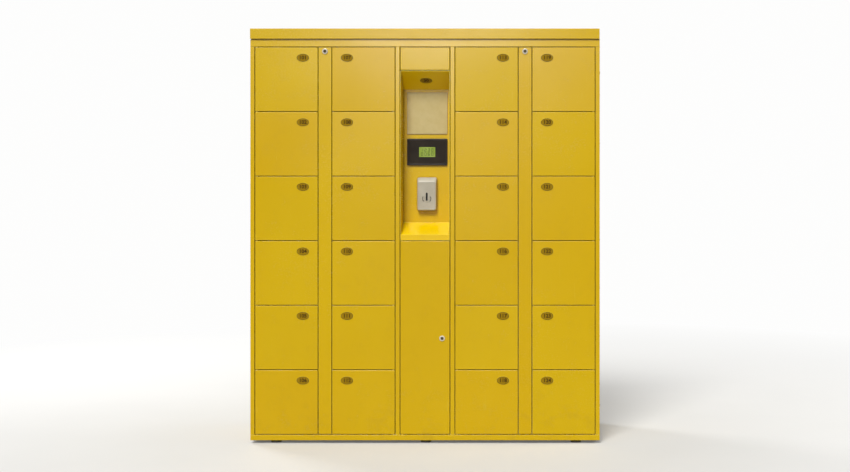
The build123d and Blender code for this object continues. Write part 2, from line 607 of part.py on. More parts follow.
with BuildPart() as alcove_surround:
    for sign in (-1, 1):
        plate(sign * ALCOVE_INSIDE_X, sign * (ALCOVE_INSIDE_X + SHEET), FRONT, ALCOVE_BACK + SHEET,
              SERVICE_TOP + HALF_GAP, soffit_front_z)
    # Sloped soffit: its lit side faces down and forward.
    with BuildSketch(Plane.YZ) as soffit_section:
        with BuildLine():
            lift = SHEET * soffit_length / ALCOVE_DEPTH
            Polyline(
                (FRONT, soffit_front_z - lift),
                (ALCOVE_BACK - SEAM, SOFFIT_BACK_Z - lift),
                (ALCOVE_BACK - SEAM, SOFFIT_BACK_Z),
                (FRONT, soffit_front_z),
                (FRONT, soffit_front_z - lift),
            )
        make_face()
    extrude(soffit_section.sketch, amount=alcove_half, both=True)
    # Sloped sill, front lip and the return under it.
    with BuildSketch(Plane.YZ) as sill_section:
        with BuildLine():
            Polyline(
                (ALCOVE_BACK - SEAM, SILL_BACK_Z),
                (FRONT, SILL_FRONT_Z),
                (FRONT, SERVICE_TOP + HALF_GAP),
                (PAN_BACK, SERVICE_TOP + HALF_GAP),
                (PAN_BACK, SERVICE_TOP + HALF_GAP + SHEET),
                (FRONT + SHEET, SERVICE_TOP + HALF_GAP + SHEET),
                (FRONT + SHEET, SILL_FRONT_Z - 1.1),
                (ALCOVE_BACK - SEAM, SILL_BACK_Z - 1.7),
                (ALCOVE_BACK - SEAM, SILL_BACK_Z),
            )
        make_face()
    extrude(sill_section.sketch, amount=alcove_half, both=True)
    # Number plate of the payment column, on the soffit.
    plate_y = FRONT + ALCOVE_DEPTH / 2
    plate_z = (soffit_front_z + SOFFIT_BACK_Z) / 2 - lift
    stand_off = 0.05
    plate_origin = (0, plate_y + stand_off * soffit_normal[1], plate_z + stand_off * soffit_normal[2])
    add_number_plate(Plane(origin=plate_origin, x_dir=(1, 0, 0), z_dir=soffit_normal))
write_part(alcove_surround, "alcove_surround")

SCREEN_BODY = (130, 90)
COIN_OPENING = (62, 112)

with BuildPart() as alcove_back_panel:
    plate(-alcove_half, alcove_half, ALCOVE_BACK, ALCOVE_BACK + SHEET, SILL_BACK_Z, SOFFIT_BACK_Z)
    for (width, height), z in ((SCREEN_BODY, DISPLAY_Z), (COIN_OPENING, COIN_UNIT_Z)):
        half_width = width / 2 + 1
        half_height = height / 2 + 1
        plate(-half_width, half_width, ALCOVE_BACK - 1, ALCOVE_BACK + 5, z - half_height, z + half_height,
              Mode.SUBTRACT)
write_part(alcove_back_panel, "alcove_back_panel")


def add_frame_on_wall(size, z, thickness, border, field_depth):
    """A plate on the alcove's back wall with a sunk field inside its border."""
    half_x = size[0] / 2
    half_z = size[1] / 2
    front = ALCOVE_BACK - thickness
    plate(-half_x, half_x, front, ALCOVE_BACK, z - half_z, z + half_z)
    plate(-half_x + border, half_x - border, front, front + field_depth,
          z - half_z + border, z + half_z - border, Mode.SUBTRACT)


with BuildPart() as notice_board:
    add_frame_on_wall(NOTICE_SIZE, NOTICE_Z, 4, 3, 1.2)
write_part(notice_board, "notice_board")

BEZEL_THICKNESS = 9
with BuildPart() as display_bezel:
    add_frame_on_wall(DISPLAY_SIZE, DISPLAY_Z, BEZEL_THICKNESS, 7, 3)
    front_edges = display_bezel.faces().sort_by(Axis.Y)[0].outer_wire().edges()
    fillet(front_edges, 2.5)
    plate(-SCREEN_SIZE[0] / 2, SCREEN_SIZE[0] / 2, ALCOVE_BACK - 20, ALCOVE_BACK + 5,
          DISPLAY_Z - SCREEN_SIZE[1] / 2, DISPLAY_Z + SCREEN_SIZE[1] / 2, Mode.SUBTRACT)
    plate(-SCREEN_BODY[0] / 2, SCREEN_BODY[0] / 2, ALCOVE_BACK - 4, ALCOVE_BACK + 5,
          DISPLAY_Z - SCREEN_BODY[1] / 2, DISPLAY_Z + SCREEN_BODY[1] / 2, Mode.SUBTRACT)
write_part(display_bezel, "display_bezel")

with BuildPart() as display_screen:
    # Glass plate behind the bezel's window, on the body of the display module.
    half_x = SCREEN_BODY[0] / 2 - 0.3
    half_z = SCREEN_BODY[1] / 2 - 0.3
    glass_front = ALCOVE_BACK - 4 + 0.1
    plate(-half_x, half_x, glass_front, glass_front + 3, DISPLAY_Z - half_z, DISPLAY_Z + half_z)
    plate(-half_x + 4, half_x - 4, glass_front + 3, ALCOVE_BACK + 30,
          DISPLAY_Z - half_z + 4, DISPLAY_Z + half_z - 4)
write_part(display_screen, "display_screen")

SLOT_WIDTH = 3.2
SLOT_HEIGHT = 30
INSERT_WIDTH = 9
INSERT_HEIGHT = 38
INSERT_DEPTH = 3
SLOT_Z = COIN_UNIT_Z - COIN_SLOT_DROP
COIN_FRONT = ALCOVE_BACK - COIN_UNIT_DEPTH

with BuildPart() as coin_unit_housing:
    half_x = COIN_UNIT_SIZE[0] / 2
    half_z = COIN_UNIT_SIZE[1] / 2
    plate(-half_x, half_x, COIN_FRONT, ALCOVE_BACK, COIN_UNIT_Z - half_z, COIN_UNIT_Z + half_z)
    fillet(coin_unit_housing.edges().filter_by(Axis.Y), 9)
    front_face = coin_unit_housing.faces().sort_by(Axis.Y)[0]
    fillet(front_face.edges(), 6)
    # Moulded hollow: the wall is 4 mm thick.
    wall = 4
    plate(-half_x + wall, half_x - wall, COIN_FRONT + wall, ALCOVE_BACK,
          COIN_UNIT_Z - half_z + wall, COIN_UNIT_Z + half_z - wall, Mode.SUBTRACT)
    # Seat of the slot insert, and the hole behind it.
    plate(-INSERT_WIDTH / 2, INSERT_WIDTH / 2, COIN_FRONT - 1, COIN_FRONT + INSERT_DEPTH,
          SLOT_Z - INSERT_HEIGHT / 2, SLOT_Z + INSERT_HEIGHT / 2, Mode.SUBTRACT)
    plate(-SLOT_WIDTH / 2, SLOT_WIDTH / 2, COIN_FRONT - 1, COIN_FRONT + wall + 1,
          SLOT_Z - SLOT_HEIGHT / 2, SLOT_Z + SLOT_HEIGHT / 2, Mode.SUBTRACT)
write_part(coin_unit_housing, "coin_unit_housing")

with BuildPart() as coin_slot_insert:
    half_x = INSERT_WIDTH / 2 - 0.1
    half_z = INSERT_HEIGHT / 2 - 0.1
    plate(-half_x, half_x, COIN_FRONT - 1, COIN_FRONT + INSERT_DEPTH - 0.05, SLOT_Z - half_z, SLOT_Z + half_z)
    front_face = coin_slot_insert.faces().sort_by(Axis.Y)[0]
    fillet(front_face.edges(), 0.8)
    plate(-SLOT_WIDTH / 2, SLOT_WIDTH / 2, COIN_FRONT - 5, COIN_FRONT + 5,
          SLOT_Z - SLOT_HEIGHT / 2, SLOT_Z + SLOT_HEIGHT / 2, Mode.SUBTRACT)
write_part(coin_slot_insert, "coin_slot_insert")

# --------------------------------------------------------------- coin path inside
VALIDATOR_BACK = ALCOVE_BACK + 80
VALIDATOR_LOW = COIN_UNIT_Z - 52

with BuildPart() as coin_validator:
    half_x = COIN_OPENING[0] / 2 - 4
    plate(-half_x, half_x, ALCOVE_BACK - 12, VALIDATOR_BACK, VALIDATOR_LOW, COIN_UNIT_Z + 48)
    vertical = coin_validator.edges().filter_by(Axis.Z)
    fillet(vertical, 3)
    # Coin passage from the slot down to the outlet.
    plate(-SLOT_WIDTH / 2, SLOT_WIDTH / 2, ALCOVE_BACK - 13, ALCOVE_BACK + 50,
          SLOT_Z - SLOT_HEIGHT / 2, SLOT_Z + SLOT_HEIGHT / 2, Mode.SUBTRACT)
    plate(-SLOT_WIDTH / 2, SLOT_WIDTH / 2, ALCOVE_BACK + 25, ALCOVE_BACK + 50,
          VALIDATOR_LOW - 1, SLOT_Z, Mode.SUBTRACT)
write_part(coin_validator, "coin_validator")

CHUTE_OUTER = (34, 26)
CHUTE_WALL = 1.5
CHUTE_TOP = VALIDATOR_LOW - 0.5
CHUTE_BOTTOM = 690
chute_y = ALCOVE_BACK + 37

with BuildPart() as coin_chute:
    with BuildLine() as chute_path:
        Polyline(
            (0, chute_y, CHUTE_TOP),
            (0, chute_y, 900),
            (0, chute_y + 80, 780),
            (0, chute_y + 80, CHUTE_BOTTOM),
        )
    with BuildSketch(Plane.XY.offset(CHUTE_TOP)):
        with Locations((0, chute_y)):
            Rectangle(CHUTE_OUTER[0], CHUTE_OUTER[1])
            Rectangle(CHUTE_OUTER[0] - 2 * CHUTE_WALL, CHUTE_OUTER[1] - 2 * CHUTE_WALL, mode=Mode.SUBTRACT)
    sweep(path=chute_path.line, transition=Transition.RIGHT)
write_part(coin_chute, "coin_chute")

BOX_HALF = 78
BOX_FRONT = FRONT + 130
BOX_BACK = FRONT + 330
BOX_LOW = CASH_SHELF_Z + 2 + 0.3
BOX_HIGH = BOX_LOW + 150

with BuildPart() as cash_box:
    plate(-BOX_HALF, BOX_HALF, BOX_FRONT, BOX_BACK, BOX_LOW, BOX_HIGH)
    fillet(cash_box.edges().filter_by(Axis.Z), 4)
    plate(-BOX_HALF + 2, BOX_HALF - 2, BOX_FRONT + 2, BOX_BACK - 2, BOX_LOW + 2, BOX_HIGH - 2, Mode.SUBTRACT)
    # Coin mouth in the lid, under the chute.
    plate(-20, 20, chute_y + 55, chute_y + 105, BOX_HIGH - 5, BOX_HIGH + 5, Mode.SUBTRACT)
    # Carrying handle on the front.
    handle_z = BOX_LOW + 95
    for x in (-42, 42):
        rod_along_y(5, x, BOX_FRONT - 26, BOX_FRONT + 1, handle_z)
    rod_along_x(5, -47, 47, BOX_FRONT - 26, handle_z)
write_part(cash_box, "cash_box")

# ------------------------------------------------------------ electronics, cables
CONTROL_X = 85
CONTROL_FRONT = BACK_INSIDE - 80
CONTROL_Z = (1130, 1330)

with BuildPart() as control_box:
    plate(-CONTROL_X, CONTROL_X, CONTROL_FRONT, BACK_INSIDE - 1, CONTROL_Z[0], CONTROL_Z[1])
    fillet(control_box.edges().filter_by(Axis.Y), 6)
    # Lid step and four cable glands along the bottom.
    lid_front = CONTROL_FRONT - 3
    plate(-CONTROL_X + 4, CONTROL_X - 4, lid_front, CONTROL_FRONT, CONTROL_Z[0] + 4, CONTROL_Z[1] - 4)
    for x in (-54, -18, 18, 54):
        rod_along_z(8, x, BACK_INSIDE - 40, CONTROL_Z[0] - 12, CONTROL_Z[0])
write_part(control_box, "control_box")

SUPPLY_X = 70
SUPPLY_FRONT = BACK_INSIDE - 60
SUPPLY_Z = (780, 880)

with BuildPart() as power_supply:
    plate(-SUPPLY_X, SUPPLY_X, SUPPLY_FRONT, BACK_INSIDE - 1, SUPPLY_Z[0], SUPPLY_Z[1])
    # Vent slots in the cover.
    for slot in range(9):
        x = -48 + slot * 12
        plate(x - 2, x + 2, SUPPLY_FRONT - 1, SUPPLY_FRONT + 2,
              SUPPLY_Z[0] + 20, SUPPLY_Z[1] - 20, Mode.SUBTRACT)
write_part(power_supply, "power_supply")

CABLE_RADIUS = 4
cable_y = BACK_INSIDE - 40

with BuildPart() as cable_loom:
    down = (0, 0, -1)
    forward = (0, -1, 0)
    gland_low = CONTROL_Z[0] - 13
    supply_high = SUPPLY_Z[1] + 1
    supply_y = SUPPLY_FRONT + 25
    routes = (
        # control box to power supply
        ([(-54, cable_y, gland_low), (-60, cable_y, 1000), (-40, supply_y, supply_high)], down, down),
        # control box to coin validator
        ([(18, cable_y, gland_low), (18, 80, 1050), (18, VALIDATOR_BACK + 1, COIN_UNIT_Z - 30)],
         down, forward),
        # mains lead, from the duct to the power supply
        ([(0, CABLE_HOLE_Y, UNIT_TOP - 20), (0, CABLE_HOLE_Y, 1800), (40, -80, 1640), (75, 60, 1250),
          (75, 150, 1040), (50, supply_y, supply_high)], down, down),
    )
    for points, start_heading, end_heading in routes:
        with BuildLine() as route:
            Spline(points, tangents=(start_heading, end_heading))
        with BuildSketch(Plane(origin=route.line @ 0, z_dir=route.line % 0)):
            Circle(CABLE_RADIUS)
        sweep(path=route.line)
write_part(cable_loom, "cable_loom")
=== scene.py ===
import json
import math

import bmesh
import bpy
from mathutils import Matrix, Vector


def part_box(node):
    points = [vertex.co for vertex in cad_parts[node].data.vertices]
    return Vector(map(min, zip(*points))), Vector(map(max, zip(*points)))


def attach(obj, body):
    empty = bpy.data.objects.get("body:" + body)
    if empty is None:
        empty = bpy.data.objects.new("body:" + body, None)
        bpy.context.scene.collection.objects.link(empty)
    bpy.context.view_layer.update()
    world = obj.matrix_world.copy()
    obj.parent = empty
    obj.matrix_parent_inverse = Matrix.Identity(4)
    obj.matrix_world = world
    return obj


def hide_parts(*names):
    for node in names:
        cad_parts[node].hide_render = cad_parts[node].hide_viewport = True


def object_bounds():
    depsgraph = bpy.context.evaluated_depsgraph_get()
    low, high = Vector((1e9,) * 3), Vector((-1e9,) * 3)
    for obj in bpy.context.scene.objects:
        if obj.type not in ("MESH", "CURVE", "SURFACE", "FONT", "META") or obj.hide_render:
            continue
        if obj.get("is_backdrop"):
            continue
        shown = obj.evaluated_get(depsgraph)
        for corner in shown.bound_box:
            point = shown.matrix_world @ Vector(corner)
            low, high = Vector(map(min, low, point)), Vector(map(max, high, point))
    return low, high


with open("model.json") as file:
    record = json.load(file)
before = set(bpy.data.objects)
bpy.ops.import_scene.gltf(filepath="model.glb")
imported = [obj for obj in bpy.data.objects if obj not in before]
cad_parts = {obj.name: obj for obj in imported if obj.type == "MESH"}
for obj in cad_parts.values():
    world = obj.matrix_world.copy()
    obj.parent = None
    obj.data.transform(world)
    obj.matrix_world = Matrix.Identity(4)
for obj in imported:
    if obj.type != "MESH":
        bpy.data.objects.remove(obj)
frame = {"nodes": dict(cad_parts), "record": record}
cad_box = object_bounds()
NODES = frame["nodes"]

MM = 0.001
CORNERS = ((-1, -1), (-1, 1), (1, -1), (1, 1))

# ---------------- places, from the frame
body_low, body_high = cad_box
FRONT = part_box("service_door")[0].y     # plane of the doors' faces
ALCOVE_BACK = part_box("alcove_back_panel")[0].y
# Behind this plane, sheets that face forwards only have primer.
PRIMER_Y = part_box("back_panels")[0].y - 10 * MM
DOORS = [f"door_{number:02d}" for number in range(1, 25)]


# ---------------- material kit
def feed(target, value):
    """Sets an input, or links it where the value is another node's output."""
    if isinstance(value, bpy.types.NodeSocket):
        target.id_data.links.new(value, target)
    else:
        target.default_value = value


def node_adder(tree):
    """A function that adds a node to the tree, with its inputs and its settings."""
    def add(kind, inputs=None, **settings):
        made = tree.nodes.new(kind)
        for key, value in settings.items():
            setattr(made, key, value)
        for key, value in (inputs or {}).items():
            feed(made.inputs[key], value)
        return made

    return add


def new_material(name):
    """A material, a function that adds nodes, one that feeds the shader, and object coordinates."""
    material = bpy.data.materials.new(name)
    material.use_nodes = True
    shader = material.node_tree.nodes["Principled BSDF"]
    add = node_adder(material.node_tree)

    def put(value, target):
        feed(shader.inputs[target], value)

    return material, add, put, add("ShaderNodeTexCoord").outputs["Object"]


def colour(r, g, b):
    """An sRGB colour, 0 to 255, as a linear one."""
    def linear(value):
        value = value / 255
        return value / 12.92 if value <= 0.04045 else ((value + 0.055) / 1.055) ** 2.4
    return (linear(r), linear(g), linear(b), 1.0)


def noise(add, coords, scale, detail=4.0, roughness=0.55, stretch=None):
    """Noise in object space; scale is in features per metre."""
    if stretch is not None:
        coords = add("ShaderNodeMapping", {"Vector": coords, "Scale": stretch}).outputs["Vector"]
    return add("ShaderNodeTexNoise", {"Vector": coords, "Scale": scale, "Detail": detail,
                                      "Roughness": roughness}).outputs["Fac"]


def remap(add, value, low, high, to_low, to_high):
    """A value taken from one range to another, and held inside it."""
    return add("ShaderNodeMapRange", {"Value": value, "From Min": low, "From Max": high,
                                      "To Min": to_low, "To Max": to_high}, clamp=True).outputs["Result"]


def maths(add, operation, a, b):
    return add("ShaderNodeMath", {0: a, 1: b}, operation=operation).outputs[0]


def mix(add, factor, a, b):
    """A blend of two colours."""
    return add("ShaderNodeMix", {0: factor, 6: a, 7: b}, data_type="RGBA").outputs[2]


def bump(add, height, distance, strength=1.0, under=None):
    inputs = {"Height": height, "Distance": distance, "Strength": strength}
    if under is not None:
        inputs["Normal"] = under
    return add("ShaderNodeBump", inputs).outputs["Normal"]


def edge_mask(add, radius, low, high):
    """1 on the rounded edges of a part, 0 on its flats."""
    bevel = add("ShaderNodeBevel", {"Radius": radius}, samples=4).outputs["Normal"]
    normal = add("ShaderNodeNewGeometry").outputs["Normal"]
    cosine = add("ShaderNodeVectorMath", {0: bevel, 1: normal}, operation="DOT_PRODUCT").outputs["Value"]
    return remap(add, cosine, low, high, 1.0, 0.0)


# ---------------- materials
def leaning_normal(add, amount):
    """The surface normal, leaning a little and differently on each panel, as hung doors do."""
    tone = add("ShaderNodeObjectInfo").outputs["Random"]
    lean = add("ShaderNodeTexWhiteNoise", {"W": tone}, noise_dimensions="1D").outputs["Color"]
    centred = add("ShaderNodeVectorMath", {0: lean, 1: (0.5, 0.5, 0.5)}, operation="SUBTRACT").outputs[0]
    scaled = add("ShaderNodeVectorMath", {0: centred, "Scale": amount}, operation="SCALE").outputs[0]
    normal = add("ShaderNodeNewGeometry").outputs["Normal"]
    total = add("ShaderNodeVectorMath", {0: normal, 1: scaled}, operation="ADD").outputs[0]
    return add("ShaderNodeVectorMath", {0: total}, operation="NORMALIZE").outputs[0]


def yellow_enamel():
    """Powder-coated steel: fine orange peel, slight waves in the sheet, painted shade in the gaps, worn
    edges with a painted highlight.
    """
    material, add, put, coords = new_material("yellow_enamel")
    tone = add("ShaderNodeObjectInfo").outputs["Random"]
    cloud = noise(add, coords, 1.6, 3.0)
    base = mix(add, remap(add, cloud, 0.35, 0.65, 0, 1), colour(216, 177, 0), colour(220, 183, 3))
    base = mix(add, remap(add, tone, 0, 1, 0, 0.5), base, colour(217, 172, 0))
    # Faint handling marks, denser low down.
    smudge = noise(add, coords, 14.0, 7.0, 0.68)
    height = add("ShaderNodeSeparateXYZ", {"Vector": coords}).outputs["Z"]
    low_down = remap(add, height, 0.0, 0.30, 0.40, 0.12)
    dirt = maths(add, "MULTIPLY", remap(add, smudge, 0.50, 0.72, 0, 1), low_down)
    base = mix(add, dirt, base, colour(184, 146, 10))
    # Hair scratches from bags and trolleys, only in patches.
    scratch = noise(add, coords, 130.0, 2.0, 0.5, (1.0, 1.0, 0.06))
    patch = noise(add, coords, 5.0, 3.0)
    drawn = remap(add, scratch, 0.66, 0.72, 0, 0.35)
    lines = maths(add, "MULTIPLY", drawn, remap(add, patch, 0.52, 0.62, 0, 1))
    base = mix(add, lines, base, colour(232, 204, 72))
    # Painted shade where panels meet: a darker brown wherever ambient occlusion finds a crevice.
    crevice_shade = add("ShaderNodeAmbientOcclusion", {"Distance": 0.014}, samples=8).outputs["AO"]
    base = mix(add, remap(add, crevice_shade, 0.30, 0.86, 0.8, 0.0), base, colour(132, 94, 0))
    # Paler on the bends: partly paint worn thin and polished, partly a painted highlight where the bends
    # catch the light.
    edge_wear_and_highlight = edge_mask(add, 0.003, 0.86, 0.995)
    edge_patches = remap(add, noise(add, coords, 60.0, 5.0, 0.7), 0.42, 0.62, 0.40, 0.85)
    base = mix(add, maths(add, "MULTIPLY", edge_wear_and_highlight, edge_patches), base, colour(250, 224, 96))
    # Grey primer on the inner faces of the rear sheets.
    geometry = add("ShaderNodeNewGeometry")
    place = add("ShaderNodeSeparateXYZ", {"Vector": geometry.outputs["Position"]}).outputs["Y"]
    normal_y = add("ShaderNodeSeparateXYZ", {"Vector": geometry.outputs["Normal"]}).outputs["Y"]
    inside = maths(add, "MULTIPLY", remap(add, place, PRIMER_Y, PRIMER_Y + 0.002, 0, 1),
                   remap(add, normal_y, -0.9, -0.5, 1, 0))
    base = mix(add, inside, base, colour(176, 173, 163))
    put(base, "Base Color")
    rough = remap(add, cloud, 0.3, 0.7, 0.19, 0.25)
    rough = maths(add, "ADD", rough, maths(add, "MULTIPLY", dirt, 0.35))
    fine_dust = noise(add, coords, 160.0, 2.0)
    rough = maths(add, "ADD", rough, remap(add, fine_dust, 0.45, 0.75, 0.0, 0.06))
    put(rough, "Roughness")
    hung = leaning_normal(add, 0.035)
    peel = bump(add, noise(add, coords, 520.0, 2.0, 0.5), 0.00012, 0.55, hung)
    waves = bump(add, noise(add, coords, 3.2, 1.0, 0.4), 0.0045, 0.45, peel)
    put(waves, "Normal")
    put(0.33, "Specular IOR Level")
    return material


def inner_enamel():
    """Light grey enamel of the shelves and partitions, scuffed by luggage."""
    material, add, put, coords = new_material("inner_enamel")
    scuffs = noise(add, coords, 14.0, 8.0, 0.7, (1.0, 0.25, 3.0))
    streaks = remap(add, scuffs, 0.55, 0.70, 0.0, 0.55)
    base = mix(add, streaks, colour(206, 203, 192), colour(150, 146, 136))
    # Painted shade: darker grey wherever ambient occlusion finds corners and recesses.
    crevice_shade = add("ShaderNodeAmbientOcclusion", {"Distance": 0.03}, samples=6).outputs["AO"]
    base = mix(add, remap(add, crevice_shade, 0.3, 0.8, 0.5, 0.0), base, colour(108, 104, 94))
    put(base, "Base Color")
    put(remap(add, scuffs, 0.4, 0.7, 0.42, 0.62), "Roughness")
    put(bump(add, noise(add, coords, 480.0, 2.0), 0.0001, 0.5), "Normal")
    return material


def zinc_steel():
    """Galvanised steel with spangle and faint rolling lines."""
    material, add, put, coords = new_material("zinc_steel")
    spangle = add("ShaderNodeTexVoronoi", {"Vector": coords, "Scale": 140.0}).outputs["Color"]
    grey = add("ShaderNodeRGBToBW", {"Color": spangle}).outputs["Val"]
    base = mix(add, grey, colour(150, 152, 154), colour(188, 190, 190))
    put(base, "Base Color")
    put(remap(add, grey, 0, 1, 0.32, 0.5), "Roughness")
    put(bump(add, noise(add, coords, 260.0, 3.0, 0.6, (1, 1, 12)), 0.00008, 0.5), "Normal")
    put(0.7, "Metallic")
    return material


def chrome():
    """Plated lock ring: bright, with hair scratches from keys and a warm painted shade in the hollows."""
    material, add, put, coords = new_material("chrome")
    scratches = noise(add, coords, 900.0, 3.0, 0.7, (1.0, 1.0, 0.12))
    base = mix(add, remap(add, scratches, 0.45, 0.7, 0, 1), colour(252, 244, 224), colour(226, 214, 188))
    # Painted shade: warm dark brown wherever ambient occlusion finds a hollow.
    crevice_shade = add("ShaderNodeAmbientOcclusion", {"Distance": 0.004}, samples=6).outputs["AO"]
    base = mix(add, remap(add, crevice_shade, 0.3, 0.8, 0.6, 0.0), base, colour(96, 76, 36))
    put(base, "Base Color")
    put(remap(add, scratches, 0.4, 0.7, 0.16, 0.34), "Roughness")
    put(bump(add, scratches, 0.00003, 0.4), "Normal")
    put(0.3, "Metallic")
    return material


def key_steel():
    """Turned face of the key plugs: dark, partly the steel and partly painted shade of the keyway."""
    material, add, put, coords = new_material("key_steel")
    turned = noise(add, coords, 1400.0, 2.0, 0.6)
    # Painted shade: the dark base stands partly for the shaded keyway.
    base = mix(add, turned, colour(70, 56, 34), colour(98, 82, 54))
    put(base, "Base Color")
    put(remap(add, turned, 0.3, 0.7, 0.40, 0.55), "Roughness")
    put(bump(add, turned, 0.00003, 0.5), "Normal")
    put(0.5, "Metallic")
    return material


def grained_plastic(name, light, dark, rough_low, rough_high, grain, depth, specular=0.5):
    """Moulded plastic with a spark-eroded grain and slight colour drift."""
    material, add, put, coords = new_material(name)
    drift = noise(add, coords, 18.0, 4.0)
    base = mix(add, remap(add, drift, 0.35, 0.65, 0, 1), light, dark)
    # Painted shade: a darker colour wherever ambient occlusion finds a recess.
    crevice_shade = add("ShaderNodeAmbientOcclusion", {"Distance": 0.006}, samples=6).outputs["AO"]
    shade = tuple(channel * 0.35 for channel in dark[:3]) + (1.0,)
    base = mix(add, remap(add, crevice_shade, 0.3, 0.8, 0.55, 0.0), base, shade)
    put(base, "Base Color")
    put(remap(add, noise(add, coords, 70.0, 5.0), 0.35, 0.7, rough_low, rough_high), "Roughness")
    put(bump(add, noise(add, coords, grain, 2.0), depth, 0.6), "Normal")
    put(specular, "Specular IOR Level")
    return material


def notice_paper():
    """Blank laminated card: faint mottling and a soft sheen."""
    material, add, put, coords = new_material("notice_beige")
    mottle = noise(add, coords, 26.0, 6.0, 0.6)
    base = mix(add, remap(add, mottle, 0.35, 0.65, 0, 1), colour(208, 191, 137), colour(201, 183, 127))
    put(base, "Base Color")
    put(remap(add, mottle, 0.3, 0.7, 0.36, 0.46), "Roughness")
    put(bump(add, noise(add, coords, 6.0, 2.0), 0.0012, 0.3), "Normal")
    return material


def rubber():
    """Black rubber with pale dust."""
    material, add, put, coords = new_material("rubber")
    dust = noise(add, coords, 90.0, 5.0)
    dusty = remap(add, dust, 0.5, 0.75, 0, 0.6)
    put(mix(add, dusty, colour(26, 26, 26), colour(84, 80, 70)), "Base Color")
    put(remap(add, dust, 0.3, 0.7, 0.6, 0.85), "Roughness")
    put(bump(add, noise(add, coords, 700.0, 2.0), 0.0001, 0.5), "Normal")
    return material


def print_ink():
    """Dark brown baked print of the numbers, thin enough to show some wear."""
    material, add, put, coords = new_material("print_ink")
    wear = noise(add, coords, 420.0, 4.0, 0.7)
    worn_through = remap(add, wear, 0.60, 0.72, 0, 0.5)
    put(mix(add, worn_through, colour(52, 28, 0), colour(104, 72, 2)), "Base Color")
    put(remap(add, wear, 0.3, 0.7, 0.45, 0.6), "Roughness")
    put(0.2, "Specular IOR Level")
    return material


def plate_amber():
    """Amber-brown etched field of the number plates."""
    material, add, put, coords = new_material("plate_amber")
    brushed = noise(add, coords, 900.0, 3.0, 0.6, (0.08, 1.0, 1.0))
    put(mix(add, brushed, colour(150, 116, 0), colour(172, 136, 2)), "Base Color")
    put(remap(add, brushed, 0.3, 0.7, 0.42, 0.58), "Roughness")
    put(bump(add, brushed, 0.00003, 0.5), "Normal")
    put(0.2, "Specular IOR Level")
    return material


def screen_glow():
    """Green backlit display, lit a little unevenly, with a fine dot grid."""
    material, add, put, coords = new_material("screen_glow")
    uneven = noise(add, coords, 22.0, 2.0)
    dots = add("ShaderNodeTexVoronoi", {"Vector": coords, "Scale": 1100.0}).outputs["Distance"]
    lit = mix(add, remap(add, uneven, 0.35, 0.65, 0, 1), colour(134, 156, 66), colour(156, 176, 88))
    lit = mix(add, remap(add, dots, 0.45, 0.8, 0.0, 0.35), lit, colour(112, 136, 52))
    put(lit, "Base Color")
    put(0.15, "Specular IOR Level")
    put(lit, "Emission Color")
    put(0.16, "Emission Strength")
    put(0.18, "Roughness")
    return material


def hammered_enamel():
    """Hammer-finish enamel of the cash box."""
    material, add, put, coords = new_material("cash_box_enamel")
    cells = add("ShaderNodeTexVoronoi", {"Vector": coords, "Scale": 260.0}, feature="SMOOTH_F1")
    dimple = cells.outputs["Distance"]
    put(mix(add, dimple, colour(58, 66, 74), colour(96, 104, 112)), "Base Color")
    put(remap(add, dimple, 0, 1, 0.25, 0.4), "Roughness")
    put(bump(add, dimple, 0.0006, 0.5), "Normal")
    put(0.4, "Metallic")
    return material


MATERIALS = {
    "yellow_enamel": yellow_enamel(),
    "inner_enamel": inner_enamel(),
    "zinc_steel": zinc_steel(),
    "chrome": chrome(),
    "key_steel": key_steel(),
    "notice_beige": notice_paper(),
    "rubber": rubber(),
    "print_ink": print_ink(),
    "plate_amber": plate_amber(),
    "screen_glow": screen_glow(),
    "cash_box_enamel": hammered_enamel(),
}
# Light and dark colour, lowest and highest roughness, grains per metre, their depth, and specular level.
PLASTICS = {
    "bezel_black": (colour(50, 45, 40), colour(40, 36, 32), 0.34, 0.5, 620.0, 0.00012),
    "cable_sheath": (colour(34, 34, 36), colour(26, 26, 28), 0.4, 0.55, 500.0, 0.00008),
    "housing_grey": (colour(192, 186, 170), colour(180, 174, 158), 0.36, 0.48, 560.0, 0.0001),
    "overlay_black": (colour(54, 48, 42), colour(46, 41, 37), 0.34, 0.40, 900.0, 0.00004, 0.2),
    # Near black: black plastic, and painted shade standing for the depth of slots and keyways.
    "void_shade_black": (colour(8, 8, 8), colour(5, 5, 5), 0.8, 0.9, 600.0, 0.00005),
    "screen_ink": (colour(34, 48, 12), colour(28, 42, 8), 0.3, 0.4, 900.0, 0.00004),
}
for name, look in PLASTICS.items():
    MATERIALS[name] = grained_plastic(name, *look)
# The display's CAD solid is replaced further down, so its slot only needs a dark stand-in.
MATERIALS["screen_green"] = MATERIALS["bezel_black"]

for node_name, slot_name in ((part["node"], part["material_slot"]) for part in frame["record"]["subparts"]):
    node = NODES[node_name]
    node.data.materials.clear()
    node.data.materials.append(MATERIALS[slot_name])


# ---------------- mesh kit
def new_object(name, data):
    made = bpy.data.objects.new(name, data)
    bpy.context.collection.objects.link(made)
    return made


def mesh_piece(name, builder, body, slot_name, material=None, smooth_angle=40):
    """A piece made from a bmesh, riding on a body."""
    mesh = bpy.data.meshes.new(name)
    builder.normal_update()
    builder.to_mesh(mesh)
    builder.free()
    piece = new_object(name, mesh)
    mesh.materials.append(MATERIALS[material or slot_name])
    mesh.shade_smooth()
    mesh.set_sharp_from_angle(angle=math.radians(smooth_angle))
    piece.modifiers.new("flat_faces", "WEIGHTED_NORMAL").keep_sharp = True
    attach(piece, body)
    return piece


def curve_mesh(curve):
    """The mesh of a curve or a text; the curve itself is then removed."""
    holder = new_object("curve", curve)
    bpy.context.view_layer.update()
    mesh = bpy.data.meshes.new_from_object(holder.evaluated_get(bpy.context.evaluated_depsgraph_get()))
    bpy.data.objects.remove(holder)
    bpy.data.curves.remove(curve)
    return mesh


